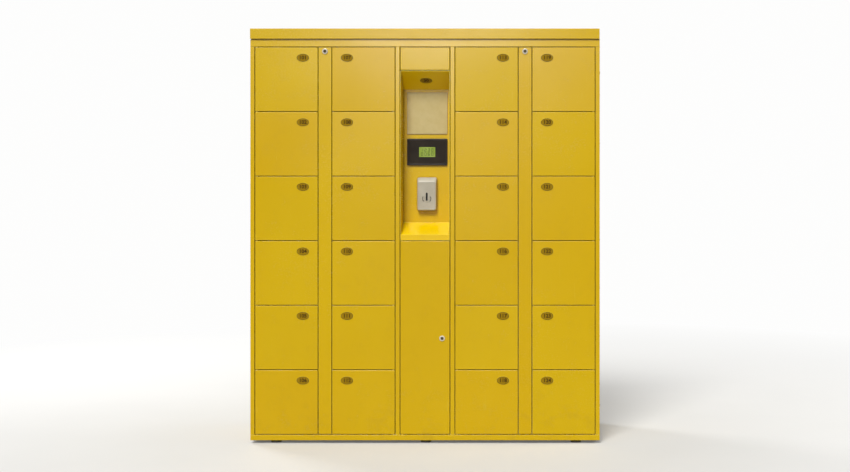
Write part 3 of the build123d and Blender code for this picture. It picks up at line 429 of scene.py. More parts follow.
def add_text(builder, text, size, plane, weight, depth):
    """Solid figures on a plane, centred on its origin."""
    curve = bpy.data.curves.new("figures", "FONT")
    curve.body = text
    curve.size = size
    curve.extrude = depth / 2
    curve.offset = weight
    curve.align_x = "CENTER"
    curve.align_y = "CENTER"
    curve.resolution_u = 3
    mesh = curve_mesh(curve)
    mesh.transform(plane @ Matrix.Translation((0, 0, depth / 2)))
    builder.from_mesh(mesh)
    bpy.data.meshes.remove(mesh)


def add_oval_ring(builder, outer, inner, plane, depth):
    """A flat oval band of rectangular section; outer and inner are half-sizes."""
    rows = []
    for half_size, height in ((outer, 0.0), (outer, depth), (inner, depth), (inner, 0.0)):
        rows.append([builder.verts.new(plane @ Vector((x, y, height))) for x, y in oval(half_size)])
    for index, row in enumerate(rows):
        following = rows[(index + 1) % len(rows)]
        for step in range(len(row)):
            after = (step + 1) % len(row)
            builder.faces.new((row[step], row[after], following[after], following[step]))


def facing(axis, degrees):
    """A function that gives a plane at a place, turned from facing up about an axis."""
    turn = Matrix.Rotation(math.radians(degrees), 4, axis)

    def plane_at(x, y, z):
        return Matrix.Translation((x, y, z)) @ turn

    return plane_at


facing_up = facing("X", 0)              # normal +Z
facing_front = facing("X", 90)          # faces a customer: its x is +X, its y is +Z, its normal is -Y
facing_back = facing("X", -90)          # normal +Y
facing_left = facing("Y", -90)          # normal -X
facing_right = facing("Y", 90)          # normal +X


def rounded_outline(half_x, half_y, radius, steps=8):
    """Points of a rectangle with round corners, counter-clockwise."""
    points = []
    for corner, (sx, sy) in enumerate(((1, 1), (-1, 1), (-1, -1), (1, -1))):
        for step in range(steps + 1):
            angle = math.radians(90 * corner + 90 * step / steps)
            points.append((sx * (half_x - radius) + radius * math.cos(angle),
                           sy * (half_y - radius) + radius * math.sin(angle)))
    return points


def add_loft(builder, sections, plane, cap_start=True, cap_end=True):
    """A skin through sections of equal point count; each is (points, height above the plane)."""
    rows = []
    for points, height in sections:
        rows.append([builder.verts.new(plane @ Vector((x, y, height))) for x, y in points])
    for row, following in zip(rows, rows[1:]):
        count = len(row)
        for step in range(count):
            after = (step + 1) % count
            builder.faces.new((row[step], row[after], following[after], following[step]))
    if cap_start:
        builder.faces.new(list(reversed(rows[0])))
    if cap_end:
        builder.faces.new(rows[-1])


def add_slab(builder, half_x, half_y, low, high, plane, radius, bevel):
    """A flat slab with round corners and eased upper edges."""
    full = rounded_outline(half_x, half_y, radius)
    eased = rounded_outline(half_x - bevel, half_y - bevel, max(radius - bevel, 0.1 * MM))
    part = bevel * 0.3
    half_way = rounded_outline(half_x - part, half_y - part, max(radius - part, 0.1 * MM))
    add_loft(builder, [(full, low), (full, high - bevel), (half_way, high - part), (eased, high)], plane)


def oval(half_size, steps=72):
    """Points of an oval, counter-clockwise."""
    return [(half_size[0] * math.cos(2 * math.pi * step / steps),
             half_size[1] * math.sin(2 * math.pi * step / steps)) for step in range(steps)]


def circle_points(radius, steps=24):
    return oval((radius, radius), steps)


def add_turned(builder, profile, plane, steps, cap_start=True, cap_end=True):
    """A turned piece; the profile is a list of (radius, height)."""
    sections = [(circle_points(radius, steps), height) for radius, height in profile]
    add_loft(builder, sections, plane, cap_start, cap_end)


def add_rivet(builder, plane, radius, height):
    """A low domed rivet head."""
    profile = [(radius, 0.0)]
    for angle in (25, 50, 72):
        profile.append((radius * math.cos(math.radians(angle)), height * math.sin(math.radians(angle))))
    add_turned(builder, profile, plane, 16, cap_start=False)


def add_bead(builder, half_x, half_y, rises, plane):
    """A long rounded bead pressed out of a sheet; rises are the heights of its four rims."""
    sections = []
    for inset, rise in zip((0, 1 * MM, 3 * MM, 5.4 * MM), rises):
        half = (half_x - inset, half_y - inset)
        sections.append((rounded_outline(*half, min(half) - 0.1 * MM, 8), rise))
    add_loft(builder, sections, plane, cap_start=False)


def add_screw(builder, plane, radius, height):
    """A pan-head screw with a cross recess."""
    sections = []
    for width, rise in ((1, 0), (1, 0.45), (0.9, 0.8), (0.68, 1)):
        sections.append((circle_points(radius * width), height * rise))
    recess = []
    for x, y in circle_points(1.0):
        on_arm = min(abs(x), abs(y)) < 0.2
        reach = radius * (0.52 if on_arm else 0.224)
        recess.append((reach * x, reach * y))
    sections += [(recess, height), ([(x * 0.8, y * 0.8) for x, y in recess], height * 0.35)]
    add_loft(builder, sections, plane, cap_start=False)


def tube_piece(name, paths, radius, body, slot_name, bends=True):
    """Round cables or bars along one path or several."""
    curve = bpy.data.curves.new(name, "CURVE")
    curve.dimensions = "3D"
    curve.bevel_depth = radius
    curve.bevel_resolution = 3
    curve.resolution_u = 6
    curve.use_fill_caps = True
    for points in paths:
        if bends:
            spline = curve.splines.new("BEZIER")
            spline.bezier_points.add(len(points) - 1)
            for target, point in zip(spline.bezier_points, points):
                target.co = point
                target.handle_left_type = "AUTO"
                target.handle_right_type = "AUTO"
        else:
            spline = curve.splines.new("POLY")
            spline.points.add(len(points) - 1)
            for target, point in zip(spline.points, points):
                target.co = (*point, 1)
    mesh = curve_mesh(curve)
    builder = bmesh.new()
    builder.from_mesh(mesh)
    bpy.data.meshes.remove(mesh)
    bmesh.ops.remove_doubles(builder, verts=builder.verts, dist=0.00001)
    mesh_piece(name, builder, body, slot_name, smooth_angle=50)


# ---------------- number plates
PLATE_HALF = (28.5 * MM, 18 * MM)
PLATE_FROM_EDGE = 69 * MM               # middle of the plate from the door's edge by the lock pillar
PLATE_FROM_TOP = 48 * MM
PLATE_FACE = 1.25 * MM                  # the rim stands this far in front of the door
PLATE_FIELD = 0.86 * MM                 # and the field this far
PLATE_FIGURES = 24 * MM


def add_plate_pieces(label, text, plane, body):
    """Border and figures printed on an oval plate whose rim is at the plane, and its etched field."""
    rim = (PLATE_HALF[0] - 0.3 * MM, PLATE_HALF[1] - 0.3 * MM)
    inner = (PLATE_HALF[0] - 2.0 * MM, PLATE_HALF[1] - 2.0 * MM)
    field_plane = plane @ Matrix.Translation((0, 0, -(PLATE_FACE - PLATE_FIELD)))
    builder = bmesh.new()
    add_oval_ring(builder, rim, inner, plane, 0.15 * MM)
    add_text(builder, text, PLATE_FIGURES, field_plane @ Matrix.Translation((0, 0, 0.12 * MM)),
             weight=0.75 * MM, depth=0.2 * MM)
    mesh_piece(f"plate_print_{label}", builder, body, "yellow_enamel", "print_ink")
    builder = bmesh.new()
    edge = (PLATE_HALF[0] - 2.3 * MM, PLATE_HALF[1] - 2.3 * MM)
    crown = (edge[0] * 0.94, edge[1] * 0.92)
    add_loft(builder, [(oval(edge), 0.0), (oval(edge), 0.10 * MM), (oval(crown), 0.16 * MM)], field_plane)
    mesh_piece(f"plate_field_{label}", builder, body, "yellow_enamel", "plate_amber")


for index, door in enumerate(DOORS):
    low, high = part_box(door)
    column = index // 6
    pillar_is_right = column % 2 == 0
    x = high.x - PLATE_FROM_EDGE if pillar_is_right else low.x + PLATE_FROM_EDGE
    plate_plane = facing_front(x, FRONT - PLATE_FACE, high.z - PLATE_FROM_TOP)
    add_plate_pieces(f"{index + 1:02d}", str(101 + index), plate_plane, door)

# The payment column's own number, on the sloped soffit.
SOFFIT_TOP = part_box("alcove_surround")[1].z
SOFFIT_DROP = 83.5 * MM                 # how far the soffit falls towards the back
SOFFIT_SHEET = 1.5 * MM
ALCOVE_DEPTH = ALCOVE_BACK - FRONT
soffit_angle = math.atan2(SOFFIT_DROP, ALCOVE_DEPTH)
soffit_z = SOFFIT_TOP - SOFFIT_DROP / 2 - SOFFIT_SHEET / math.cos(soffit_angle)
soffit_middle = Vector((0, FRONT + ALCOVE_DEPTH / 2, soffit_z))
soffit_plane = Matrix.Translation(soffit_middle) @ Matrix.Rotation(math.pi - soffit_angle, 4, "X")
add_plate_pieces("column", "30", soffit_plane @ Matrix.Translation((0, 0, PLATE_FACE)), "cabinet")

# ---------------- display
bezel_low, bezel_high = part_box("display_bezel")
SCREEN_Z = (bezel_low.z + bezel_high.z) / 2
BEZEL_HALF = ((bezel_high.x - bezel_low.x) / 2, (bezel_high.z - bezel_low.z) / 2)
BEZEL_THICK = bezel_high.y - bezel_low.y
WINDOW = (36.5 * MM, 21.5 * MM)         # half-sizes of the lit window
display_plane = facing_front(0, bezel_high.y, SCREEN_Z)


def bezel_outline(inset, radius):
    return rounded_outline(BEZEL_HALF[0] - inset, BEZEL_HALF[1] - inset, radius)


# Black frame with a rounded rim and a sunk field.
BEZEL_CORNER = 4 * MM
RIM_RADIUS = 2.6 * MM
rim_start = BEZEL_THICK - RIM_RADIUS
builder = bmesh.new()
sections = [(bezel_outline(0, BEZEL_CORNER), 0.1 * MM), (bezel_outline(0, BEZEL_CORNER), rim_start)]
for turn in (20, 40, 60, 80):
    inset = RIM_RADIUS * (1 - math.cos(math.radians(turn)))
    rise = RIM_RADIUS * math.sin(math.radians(turn))
    sections.append((bezel_outline(inset, BEZEL_CORNER), rim_start + rise))
for inset, corner, drop in ((6, 3, 0), (7, 2.5, 0.7), (7.2, 2.5, 1.8)):
    sections.append((bezel_outline(inset * MM, corner * MM), BEZEL_THICK - drop * MM))
add_loft(builder, sections, display_plane)
bezel = mesh_piece("display_frame", builder, "cabinet", "bezel_black")
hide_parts("display_bezel", "display_screen")

# Smoked overlay panel in the frame, stepping down to the window.
builder = bmesh.new()
panel = (BEZEL_HALF[0] - 7.6 * MM, BEZEL_HALF[1] - 7.6 * MM)
sections = []
for inset, corner, drop in ((0, 2.2, 2.0), (0, 2.2, 1.15), (0.4, 2.0, 0.9)):
    outline = rounded_outline(panel[0] - inset * MM, panel[1] - inset * MM, corner * MM)
    sections.append((outline, BEZEL_THICK - drop * MM))
for grow, drop in ((3.0, 0.9), (2.4, 1.1), (2.2, 1.5)):
    outline = rounded_outline(WINDOW[0] + grow * MM, WINDOW[1] + grow * MM, 2.5 * MM)
    sections.append((outline, BEZEL_THICK - drop * MM))
add_loft(builder, sections, display_plane)
mesh_piece("display_overlay", builder, "cabinet", "bezel_black", "overlay_black")

glass_plane = display_plane @ Matrix.Translation((0, 0, BEZEL_THICK - 1.5 * MM))
glass = (WINDOW[0] + 1.6 * MM, WINDOW[1] + 1.6 * MM)
builder = bmesh.new()
add_slab(builder, *glass, -0.4 * MM, 0.25 * MM, glass_plane, 1.5 * MM, 0.15 * MM)
mesh_piece("display_glass", builder, "cabinet", "screen_green", "screen_glow")

# Two rows of seven-segment figures.
SEGMENTS = {"0": "abcdef", "1": "bc", "2": "abged", "3": "abgcd", "6": "afgedc"}


def add_segment_figure(builder, figure, x, y, width, height, plane):
    """One seven-segment figure, its lower left corner at x, y."""
    thick = width * 0.26
    half = height / 2
    bars = {"a": (x, y + height - thick, x + width, y + height), "d": (x, y, x + width, y + thick),
            "g": (x, y + half - thick / 2, x + width, y + half + thick / 2),
            "f": (x, y + half, x + thick, y + height), "e": (x, y, x + thick, y + half),
            "b": (x + width - thick, y + half, x + width, y + height),
            "c": (x + width - thick, y, x + width, y + half)}
    gap = thick * 0.18
    for letter in SEGMENTS[figure]:
        x0, y0, x1, y1 = bars[letter]
        middle = Matrix.Translation(((x0 + x1) / 2, (y0 + y1) / 2, 0))
        add_slab(builder, (x1 - x0) / 2 - gap, (y1 - y0) / 2 - gap, 0, 0.2 * MM, plane @ middle,
                 0.3 * MM, 0.1 * MM)


builder = bmesh.new()
figures_plane = glass_plane @ Matrix.Translation((0, 0, 0.2 * MM))
FIGURE = (10.5 * MM, 15 * MM)
FIGURE_PITCH = 16 * MM
for text, base_y in (("1230", 2 * MM), ("0060", -17 * MM)):
    start = (FIGURE_PITCH - FIGURE[0] - FIGURE_PITCH * len(text)) / 2
    for place, figure in enumerate(text):
        add_segment_figure(builder, figure, start + place * FIGURE_PITCH, base_y, *FIGURE, figures_plane)
mesh_piece("display_figures", builder, "cabinet", "screen_green", "screen_ink")

# Four small screws hold the overlay.
SCREW_INSET = 6 * MM
overlay_face = BEZEL_THICK - 0.95 * MM
builder = bmesh.new()
for sx, sz in CORNERS:
    x = sx * (panel[0] - SCREW_INSET)
    z = sz * (panel[1] - SCREW_INSET)
    add_screw(builder, display_plane @ Matrix.Translation((x, z, overlay_face)), 2.2 * MM, 0.8 * MM)
mesh_piece("overlay_screws", builder, "cabinet", "bezel_black")

# ---------------- coin unit
coin_low, coin_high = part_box("coin_unit_housing")
COIN_Z = (coin_low.z + coin_high.z) / 2
COIN_HALF = ((coin_high.x - coin_low.x) / 2, (coin_high.z - coin_low.z) / 2)
coin_plane = facing_front(0, coin_high.y, COIN_Z)
slot_low, slot_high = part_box("coin_slot_insert")
SLOT_Z = (slot_low.z + slot_high.z) / 2 - COIN_Z


def coin_section(inset, radius, lean):
    """The unit's outline drawn in by an inset; its upper edge leans back by a further amount."""
    half_x = COIN_HALF[0] - inset
    half_z = COIN_HALF[1] - inset
    points = rounded_outline(half_x, half_z, radius, 10)
    return [(x, y - lean if y > 0 else y) for x, y in points]


# The shell from its foot to its sunk face: inset, corner radius, lean and height, in millimetres.
COIN_FACE = 27.1 * MM
COIN_SHELL = ((0, 9, 0, 0.1), (0, 9, 0, 9), (0.5, 9, 1, 13), (1.2, 9, 7, 19), (2, 9, 12.5, 24),
              (3, 8.5, 15, 26.4), (4.6, 8, 16.2, 27.6), (6.4, 7, 16.6, 28), (8, 6, 16.6, 28),
              (8.8, 5.5, 16.6, 27.3), (9.6, 5, 16.6, COIN_FACE / MM))
sections = []
for inset, corner, lean, height in COIN_SHELL:
    sections.append((coin_section(inset * MM, corner * MM, lean * MM), height * MM))
builder = bmesh.new()
add_loft(builder, sections, coin_plane)
shell = mesh_piece("coin_unit_shell", builder, "cabinet", "housing_grey")
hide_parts("coin_unit_housing", "coin_slot_insert")

# Slot insert with a raised lip, the cup under it, and a finger groove on each side.
face_plane = coin_plane @ Matrix.Translation((0, SLOT_Z, COIN_FACE))
# The lip's rings: half-width, half-height, corner radius and height, in millimetres.
SLOT_LIP = ((4.4, 18.9, 3.4, -1.0), (4.4, 18.9, 3.4, 0.7), (3.6, 18.1, 2.6, 1.4),
            (2.2, 15.6, 1.2, 1.4), (1.6, 15.0, 0.8, 0.7), (1.6, 15.0, 0.8, 0.1))
sections = []
for half_x, half_z, corner, height in SLOT_LIP:
    sections.append((rounded_outline(half_x * MM, half_z * MM, corner * MM), height * MM))
builder = bmesh.new()
add_loft(builder, sections, face_plane)
# The lip is black plastic; its shallow floor is near black as painted shade for the slot's depth.
mesh_piece("coin_slot_lip", builder, "cabinet", "bezel_black", "void_shade_black")

CUP_HALF = 11.5 * MM
CUP_Z = -9 * MM                         # middle of the cup's round end, from the slot's middle
CUP_TOP = 4 * MM
cup = [face_plane @ Vector((-CUP_HALF, CUP_TOP, 0.2 * MM))]
for step in range(25):
    turn = math.radians(-180 + 180 * step / 24)
    z = CUP_Z + 15 * MM * math.sin(turn)
    cup.append(face_plane @ Vector((CUP_HALF * math.cos(turn), z, 0.2 * MM)))
cup.append(face_plane @ Vector((CUP_HALF, CUP_TOP, 0.2 * MM)))
tube_piece("coin_cup_ridge", [cup], 2.0 * MM, "cabinet", "housing_grey", bends=False)

# The finger grooves are drawn as black arcs: painted shade standing for their depth.
for side, label in ((-1, "left"), (1, "right")):
    groove = []
    for step in range(13):
        turn = math.radians(-48 + 82 * step / 12)
        x = side * (3 * MM + 16.5 * MM * math.cos(turn))
        z = CUP_Z + 17 * MM * math.sin(turn)
        groove.append(face_plane @ Vector((x, z, -0.3 * MM)))
    tube_piece(f"coin_guide_{label}", [groove], 1.7 * MM, "cabinet", "bezel_black")

# ---------------- notice sheet
NOTICE_RIM = 4.2 * MM                   # width of the board's rim round the sheet
NOTICE_SINK = 1.2 * MM                  # the sheet's bed lies this far behind the rim
notice_low, notice_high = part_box("notice_board")
notice_plane = facing_front(0, notice_low.y + NOTICE_SINK, (notice_low.z + notice_high.z) / 2)
half_x = (notice_high.x - notice_low.x) / 2 - NOTICE_RIM
half_z = (notice_high.z - notice_low.z) / 2 - NOTICE_RIM
builder = bmesh.new()
add_slab(builder, half_x, half_z, 0.03 * MM, 0.75 * MM, notice_plane, 3 * MM, 0.3 * MM)
mesh_piece("notice_sheet", builder, "cabinet", "notice_beige")

# ---------------- wiring in the lock pillars
LOCK_FRONT = FRONT + 30 * MM            # front faces of the electric locks
LOCK_X = 16 * MM                        # middle of a lock from the middle of the pillar
ROW_MIDDLES = sorted({round((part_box(door)[0].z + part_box(door)[1].z) / 2, 4) for door in DOORS})


def add_box(builder, half, height, plane, bevel):
    """A small moulded block, its base on the plane."""
    add_slab(builder, *half, 0, height, plane, bevel * 1.5, bevel)


for side in ("left", "right"):
    cover_low, cover_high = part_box(f"pillar_cover_{side}")
    pillar_x = (cover_low.x + cover_high.x) / 2
    trunk_y = LOCK_FRONT - 3.2 * MM
    trunk = [(pillar_x, trunk_y + 40 * MM, cover_high.z - 30 * MM),
             (pillar_x, trunk_y + 2 * MM, cover_high.z - 62 * MM)]
    for z in reversed(ROW_MIDDLES):
        trunk += [(pillar_x, trunk_y, z + 90 * MM), (pillar_x, trunk_y, z + 10 * MM)]
    tube_piece(f"lock_trunk_{side}", [trunk], 2.1 * MM, "cabinet", "cable_sheath")
    branches = []
    plugs = bmesh.new()
    labels = bmesh.new()
    screws = bmesh.new()
    for z in ROW_MIDDLES:
        for sign in (-1, 1):
            lock_x = pillar_x + sign * LOCK_X
            branches.append([(pillar_x, trunk_y, z + 58 * MM),
                             (pillar_x + sign * 5 * MM, trunk_y - 2 * MM, z + 48 * MM),
                             (lock_x, LOCK_FRONT - 7.5 * MM, z + 42 * MM),
                             (lock_x, LOCK_FRONT - 6 * MM, z + 31 * MM)])
            plug_plane = facing_front(lock_x, LOCK_FRONT, z + 28 * MM)
            add_box(plugs, (5.5 * MM, 4 * MM), 9 * MM, plug_plane, 0.6 * MM)
            label_plane = facing_front(lock_x, LOCK_FRONT, z - 6 * MM)
            add_box(labels, (9 * MM, 14 * MM), 0.4 * MM, label_plane, 0.2 * MM)
            for dz in (-33 * MM, 14 * MM):
                add_screw(screws, facing_front(lock_x, LOCK_FRONT, z + dz), 2.8 * MM, 1.6 * MM)
    tube_piece(f"lock_cables_{side}", branches, 1.1 * MM, "cabinet", "cable_sheath")
    mesh_piece(f"lock_plugs_{side}", plugs, "cabinet", "housing_grey")
    mesh_piece(f"lock_labels_{side}", labels, "cabinet", "notice_beige")
    mesh_piece(f"lock_screws_{side}", screws, "cabinet", "zinc_steel")

# ---------------- cash box and electronics
HANDLE_REACH = 31 * MM                  # how far the handle stands out from the box
BAR_RADIUS = 5 * MM
LOCK_DROP = 26 * MM                     # middle of the lock below the box's top
cash_low, cash_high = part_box("cash_box")
cash_front = cash_low.y + HANDLE_REACH
lock_plane = facing_front(0, cash_front, cash_high.z - LOCK_DROP)
builder = bmesh.new()
lock_profile = [(11 * MM, 0), (11 * MM, 2 * MM), (10 * MM, 3 * MM), (7.5 * MM, 3.2 * MM),
                (7 * MM, 2.2 * MM)]
add_turned(builder, lock_profile, lock_plane, 40)
mesh_piece("cash_box_lock", builder, "cash_box", "chrome")
# The keyway is a thin near-black slab: painted shade standing for the hole.
builder = bmesh.new()
add_slab(builder, 1.1 * MM, 4.4 * MM, 2.2 * MM, 2.45 * MM, lock_plane, 0.6 * MM, 0.05 * MM)
mesh_piece("cash_box_keyway", builder, "cash_box", "bezel_black", "void_shade_black")
HANDLE_Z = cash_low.z + 95 * MM
grip = [(x, cash_low.y + BAR_RADIUS, HANDLE_Z) for x in (-36 * MM, -12 * MM, 12 * MM, 36 * MM)]
tube_piece("cash_box_grip", [grip], 6.4 * MM, "cash_box", "rubber")
builder = bmesh.new()
for x in (-66 * MM, 66 * MM):
    for z in (cash_low.z + 14 * MM, cash_high.z - 14 * MM):
        add_rivet(builder, facing_front(x, cash_front, z), 3.4 * MM, 1.3 * MM)
mesh_piece("cash_box_rivets", builder, "cash_box", "zinc_steel")

control_low, control_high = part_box("control_box")
lid_middle = (control_low.z + 12 * MM + control_high.z) / 2
builder = bmesh.new()
for sx, sz in CORNERS:
    place = facing_front(sx * 74 * MM, control_low.y, lid_middle + sz * 88 * MM)
    add_screw(builder, place, 3.2 * MM, 1.6 * MM)
mesh_piece("control_box_screws", builder, "cabinet", "zinc_steel")

# Hex lock nuts on the stems of the feet.
FOOT_RADIUS = 24 * MM
base_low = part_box("base_frame")[0].z
feet_low, feet_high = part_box("levelling_feet")
foot_x = feet_high.x - FOOT_RADIUS
nut_profile = [(10.2 * MM, 9.1 * MM), (11 * MM, 9.7 * MM), (11 * MM, base_low - 0.9 * MM),
               (10.2 * MM, base_low - 0.3 * MM)]
builder = bmesh.new()
for x in (-foot_x, 0, foot_x):
    for y in (feet_low.y + FOOT_RADIUS, feet_high.y - FOOT_RADIUS):
        add_turned(builder, nut_profile, facing_up(x, y, 0), 6)
mesh_piece("foot_nuts", builder, "cabinet", "zinc_steel")

# ---------------- rivets and screws
back_low, back_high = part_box("back_panels")
BACK = back_high.y
back_middle = (back_low.z + back_high.z) / 2
back_half = (back_high.z - back_low.z) / 2
EDGE_X = back_high.x - 13 * MM          # middle of the strips along the rear's edges
SEAM_X = (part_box("pillar_cover_right")[0].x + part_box("pillar_cover_right")[1].x) / 2
ROW_END = 30 * MM                       # from a sheet's end to the first rivet of an upright row
ROW_INSET = 14 * MM                     # from a sheet's edge to the row of rivets along it


def rivet_line(builder, start, end, count, plane_at, radius=4.2 * MM, height=1.4 * MM):
    """Rivets at even steps from one point to another."""
    for step in range(count):
        place = Vector(start).lerp(Vector(end), step / (count - 1))
        add_rivet(builder, plane_at(*place), radius, height)


def mount_holes(mount_name, axis):
    """A mount's four holes: each one's place along the axis and its height, and their radius."""
    mount = next(m for m in frame["record"]["mounts"] if m["name"] == mount_name)
    pattern = mount["dims"]
    across = pattern["spacing_x_mm"] * MM / 2
    up = pattern["spacing_y_mm"] * MM / 2
    middle = mount["pos_m"]
    places = [(middle[axis] + sx * across, middle[2] + sz * up) for sx, sz in CORNERS]
    return places, pattern["hole_r_mm"] * MM


# Cover strips over the two seams and along the edges, and pressed beads between them.
STRIP = 1.2 * MM
builder = bmesh.new()
for x, half_x in ((-SEAM_X, 17 * MM), (SEAM_X, 17 * MM), (-EDGE_X, 12 * MM), (EDGE_X, 12 * MM)):
    strip_plane = facing_back(x, BACK, back_middle)
    add_slab(builder, half_x, back_half - 1 * MM, 0, STRIP, strip_plane, 1 * MM, 0.4 * MM)
mesh_piece("back_strips", builder, "cabinet", "zinc_steel")

BEAD_HALF = 9 * MM
BEAD_END = 110 * MM                     # from the ends of the rear sheets
BACK_BEADS = (-0.70, -0.59, 0.59, 0.70, -0.33, -0.20, 0.20, 0.33)
builder = bmesh.new()
for x in BACK_BEADS:
    add_bead(builder, BEAD_HALF, back_half - BEAD_END, (0, 0.8 * MM, 2.4 * MM, 3 * MM),
             facing_back(x, BACK, back_middle))
mesh_piece("back_beads", builder, "cabinet", "yellow_enamel")

RIVET_SPANS = ((-0.76, -0.50), (-0.42, 0.42), (0.50, 0.76))
builder = bmesh.new()
beside_seams = [side * SEAM_X + offset for side in (-1, 1) for offset in (-10 * MM, 10 * MM)]
for x in beside_seams + [-EDGE_X, EDGE_X]:
    rivet_line(builder, (x, BACK + STRIP, back_low.z + ROW_END), (x, BACK + STRIP, back_high.z - ROW_END),
               13, facing_back)
for z in (back_low.z + ROW_INSET, back_high.z - ROW_INSET):
    for start_x, end_x in RIVET_SPANS:
        rivet_line(builder, (start_x, BACK, z), (end_x, BACK, z), 7, facing_back)
mesh_piece("back_rivets", builder, "cabinet", "zinc_steel")

# Washers round the wall-anchor holes.
anchors, hole = mount_holes("wall_anchors", 0)
washer = [(hole + 9 * MM, 0.05 * MM), (hole + 9 * MM, 1.2 * MM), (hole + 8.4 * MM, 1.6 * MM),
          (hole + 0.7 * MM, 1.6 * MM), (hole + 0.3 * MM, 1.2 * MM), (hole + 0.3 * MM, 0.05 * MM)]
builder = bmesh.new()
for x, z in anchors:
    add_turned(builder, washer, facing_back(x, BACK, z), 36, cap_start=False, cap_end=False)
mesh_piece("anchor_washers", builder, "cabinet", "zinc_steel")

# A row of rivets along the top's rear edge and one down each side of it.
top_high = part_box("top_panel")[1]
fascia_low, fascia_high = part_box("top_fascia")
rear_y = top_high.y - ROW_INSET
REAR_ROW_X = 0.79                       # ends of the rear row
SIDE_ROW_X = 0.799
builder = bmesh.new()
rivet_line(builder, (-REAR_ROW_X, rear_y, top_high.z), (REAR_ROW_X, rear_y, top_high.z), 13, facing_up)
for x in (-SIDE_ROW_X, SIDE_ROW_X):
    rivet_line(builder, (x, fascia_high.y + 30 * MM, top_high.z), (x, rear_y - 60 * MM, top_high.z),
               5, facing_up)
mesh_piece("top_rivets", builder, "cabinet", "zinc_steel")

# Two pressed beads stiffen the top.
TOP_BEADS = (-0.02, 0.13)
TOP_BEAD_REACH = 0.70
builder = bmesh.new()
for y in TOP_BEADS:
    add_bead(builder, TOP_BEAD_REACH, BEAD_HALF, (0, 0.5 * MM, 1.6 * MM, 2 * MM),
             facing_up(0, y, top_high.z))
mesh_piece("top_beads", builder, "cabinet", "yellow_enamel")

# Rivets along the sides, and plastic caps that close their joining holes.
side_low, side_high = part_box("side_panels")
cap_profile = [(7.5 * MM, 0.05 * MM), (7.5 * MM, 0.5 * MM), (6.9 * MM, 1.2 * MM), (5 * MM, 1.6 * MM),
               (4.2 * MM, 1.2 * MM)]
for label, x, plane_at in (("left", side_low.x, facing_left), ("right", side_high.x, facing_right)):
    builder = bmesh.new()
    for y in (side_low.y + ROW_INSET, side_high.y - ROW_INSET):
        rivet_line(builder, (x, y, side_low.z + ROW_END), (x, y, side_high.z - ROW_END), 9,
                   plane_at, 3.6 * MM, 0.9 * MM)
    mesh_piece(f"side_rivets_{label}", builder, "cabinet", "yellow_enamel")
    builder = bmesh.new()
    for y, z in mount_holes(f"{label}_join_holes", 1)[0]:
        add_turned(builder, cap_profile, plane_at(x, y, z), 32)
    mesh_piece(f"side_caps_{label}", builder, "cabinet", "bezel_black")

# Screws along the fascia's rear edge, and two flat ones in each of its ends.
SCREW_PITCH = 255 * MM
builder = bmesh.new()
for step in range(-3, 4):
    place = facing_up(step * SCREW_PITCH, fascia_high.y - 12 * MM, fascia_high.z)
    add_screw(builder, place, 3.6 * MM, 1.6 * MM)
fascia_middle = (fascia_low.z + fascia_high.z) / 2
for x, plane_at in ((fascia_low.x, facing_left), (fascia_high.x, facing_right)):
    for y in (fascia_low.y + 20 * MM, fascia_high.y - 20 * MM):
        add_screw(builder, plane_at(x, y, fascia_middle), 3.6 * MM, 0.5 * MM)
mesh_piece("fascia_screws", builder, "cabinet", "zinc_steel")

# A painted packing strip fills the gap between the top rail and the fascia, just behind the rail's face.
STRIP_INSET = 0.3 * MM
GAP_HALF = 1.5 * MM
packing_plane = facing_front(0, FRONT + STRIP_INSET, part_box("front_frame")[1].z + GAP_HALF)
builder = bmesh.new()
add_slab(builder, fascia_high.x - 3 * MM, GAP_HALF - 0.1 * MM, -3 * MM, 0, packing_plane,
         0.6 * MM, 0.2 * MM)
mesh_piece("fascia_packing", builder, "cabinet", "yellow_enamel")

# Pressed brows over the cooling slots in the rear: half-height, rise and drop of each rim, in millimetres.
BROW_RIMS = ((4.5, 0.0, 0.0), (4.3, 1.2, -0.3), (3.4, 2.6, -1.0), (2.0, 3.4, -2.0))
BROW_Z = 1409 * MM                      # the lowest brow
SLOT_PITCH = 16 * MM
brow = []
for half_z, rise, drop in BROW_RIMS:
    outline = rounded_outline(32 * MM, half_z * MM, 1.6 * MM, 4)
    brow.append(([(x, y + drop * MM) for x, y in outline], rise * MM))
builder = bmesh.new()
for row in range(8):
    for x in (-45 * MM, 45 * MM):
        brow_plane = facing_back(x, BACK, BROW_Z + row * SLOT_PITCH) @ Matrix.Rotation(math.pi, 4, "Z")
        add_loft(builder, brow, brow_plane, cap_start=False)
mesh_piece("louvre_brows", builder, "cabinet", "yellow_enamel")

# ---------------- stage, light, camera
BACKDROP = (0.985, 0.985, 0.98, 1.0)


def floor_pale():
    """Pale matt floor that turns as pale as the backdrop with distance, so that no horizon shows."""
    material, add, put, coords = new_material("floor_pale")
    tone = noise(add, coords, 1.5, 5.0)
    from_middle = add("ShaderNodeVectorMath", {0: coords}, operation="LENGTH").outputs["Value"]
    seen = add("ShaderNodeLightPath").outputs["Is Camera Ray"]
    fade = maths(add, "MULTIPLY", remap(add, from_middle, 1.2, 4.5, 0.12, 1.0), seen)
    base = mix(add, tone, colour(208, 207, 204), colour(216, 215, 212))
    # The light it throws back at the doors is kept low, as from the dark floor of a station hall.
    base = mix(add, seen, colour(152, 151, 148), base)
    put(mix(add, fade, base, colour(0, 0, 0)), "Base Color")
    put(BACKDROP, "Emission Color")
    put(fade, "Emission Strength")
    put(0.7, "Roughness")
    put(remap(add, fade, 0.12, 0.9, 0.2, 0.0), "Specular IOR Level")
    return material


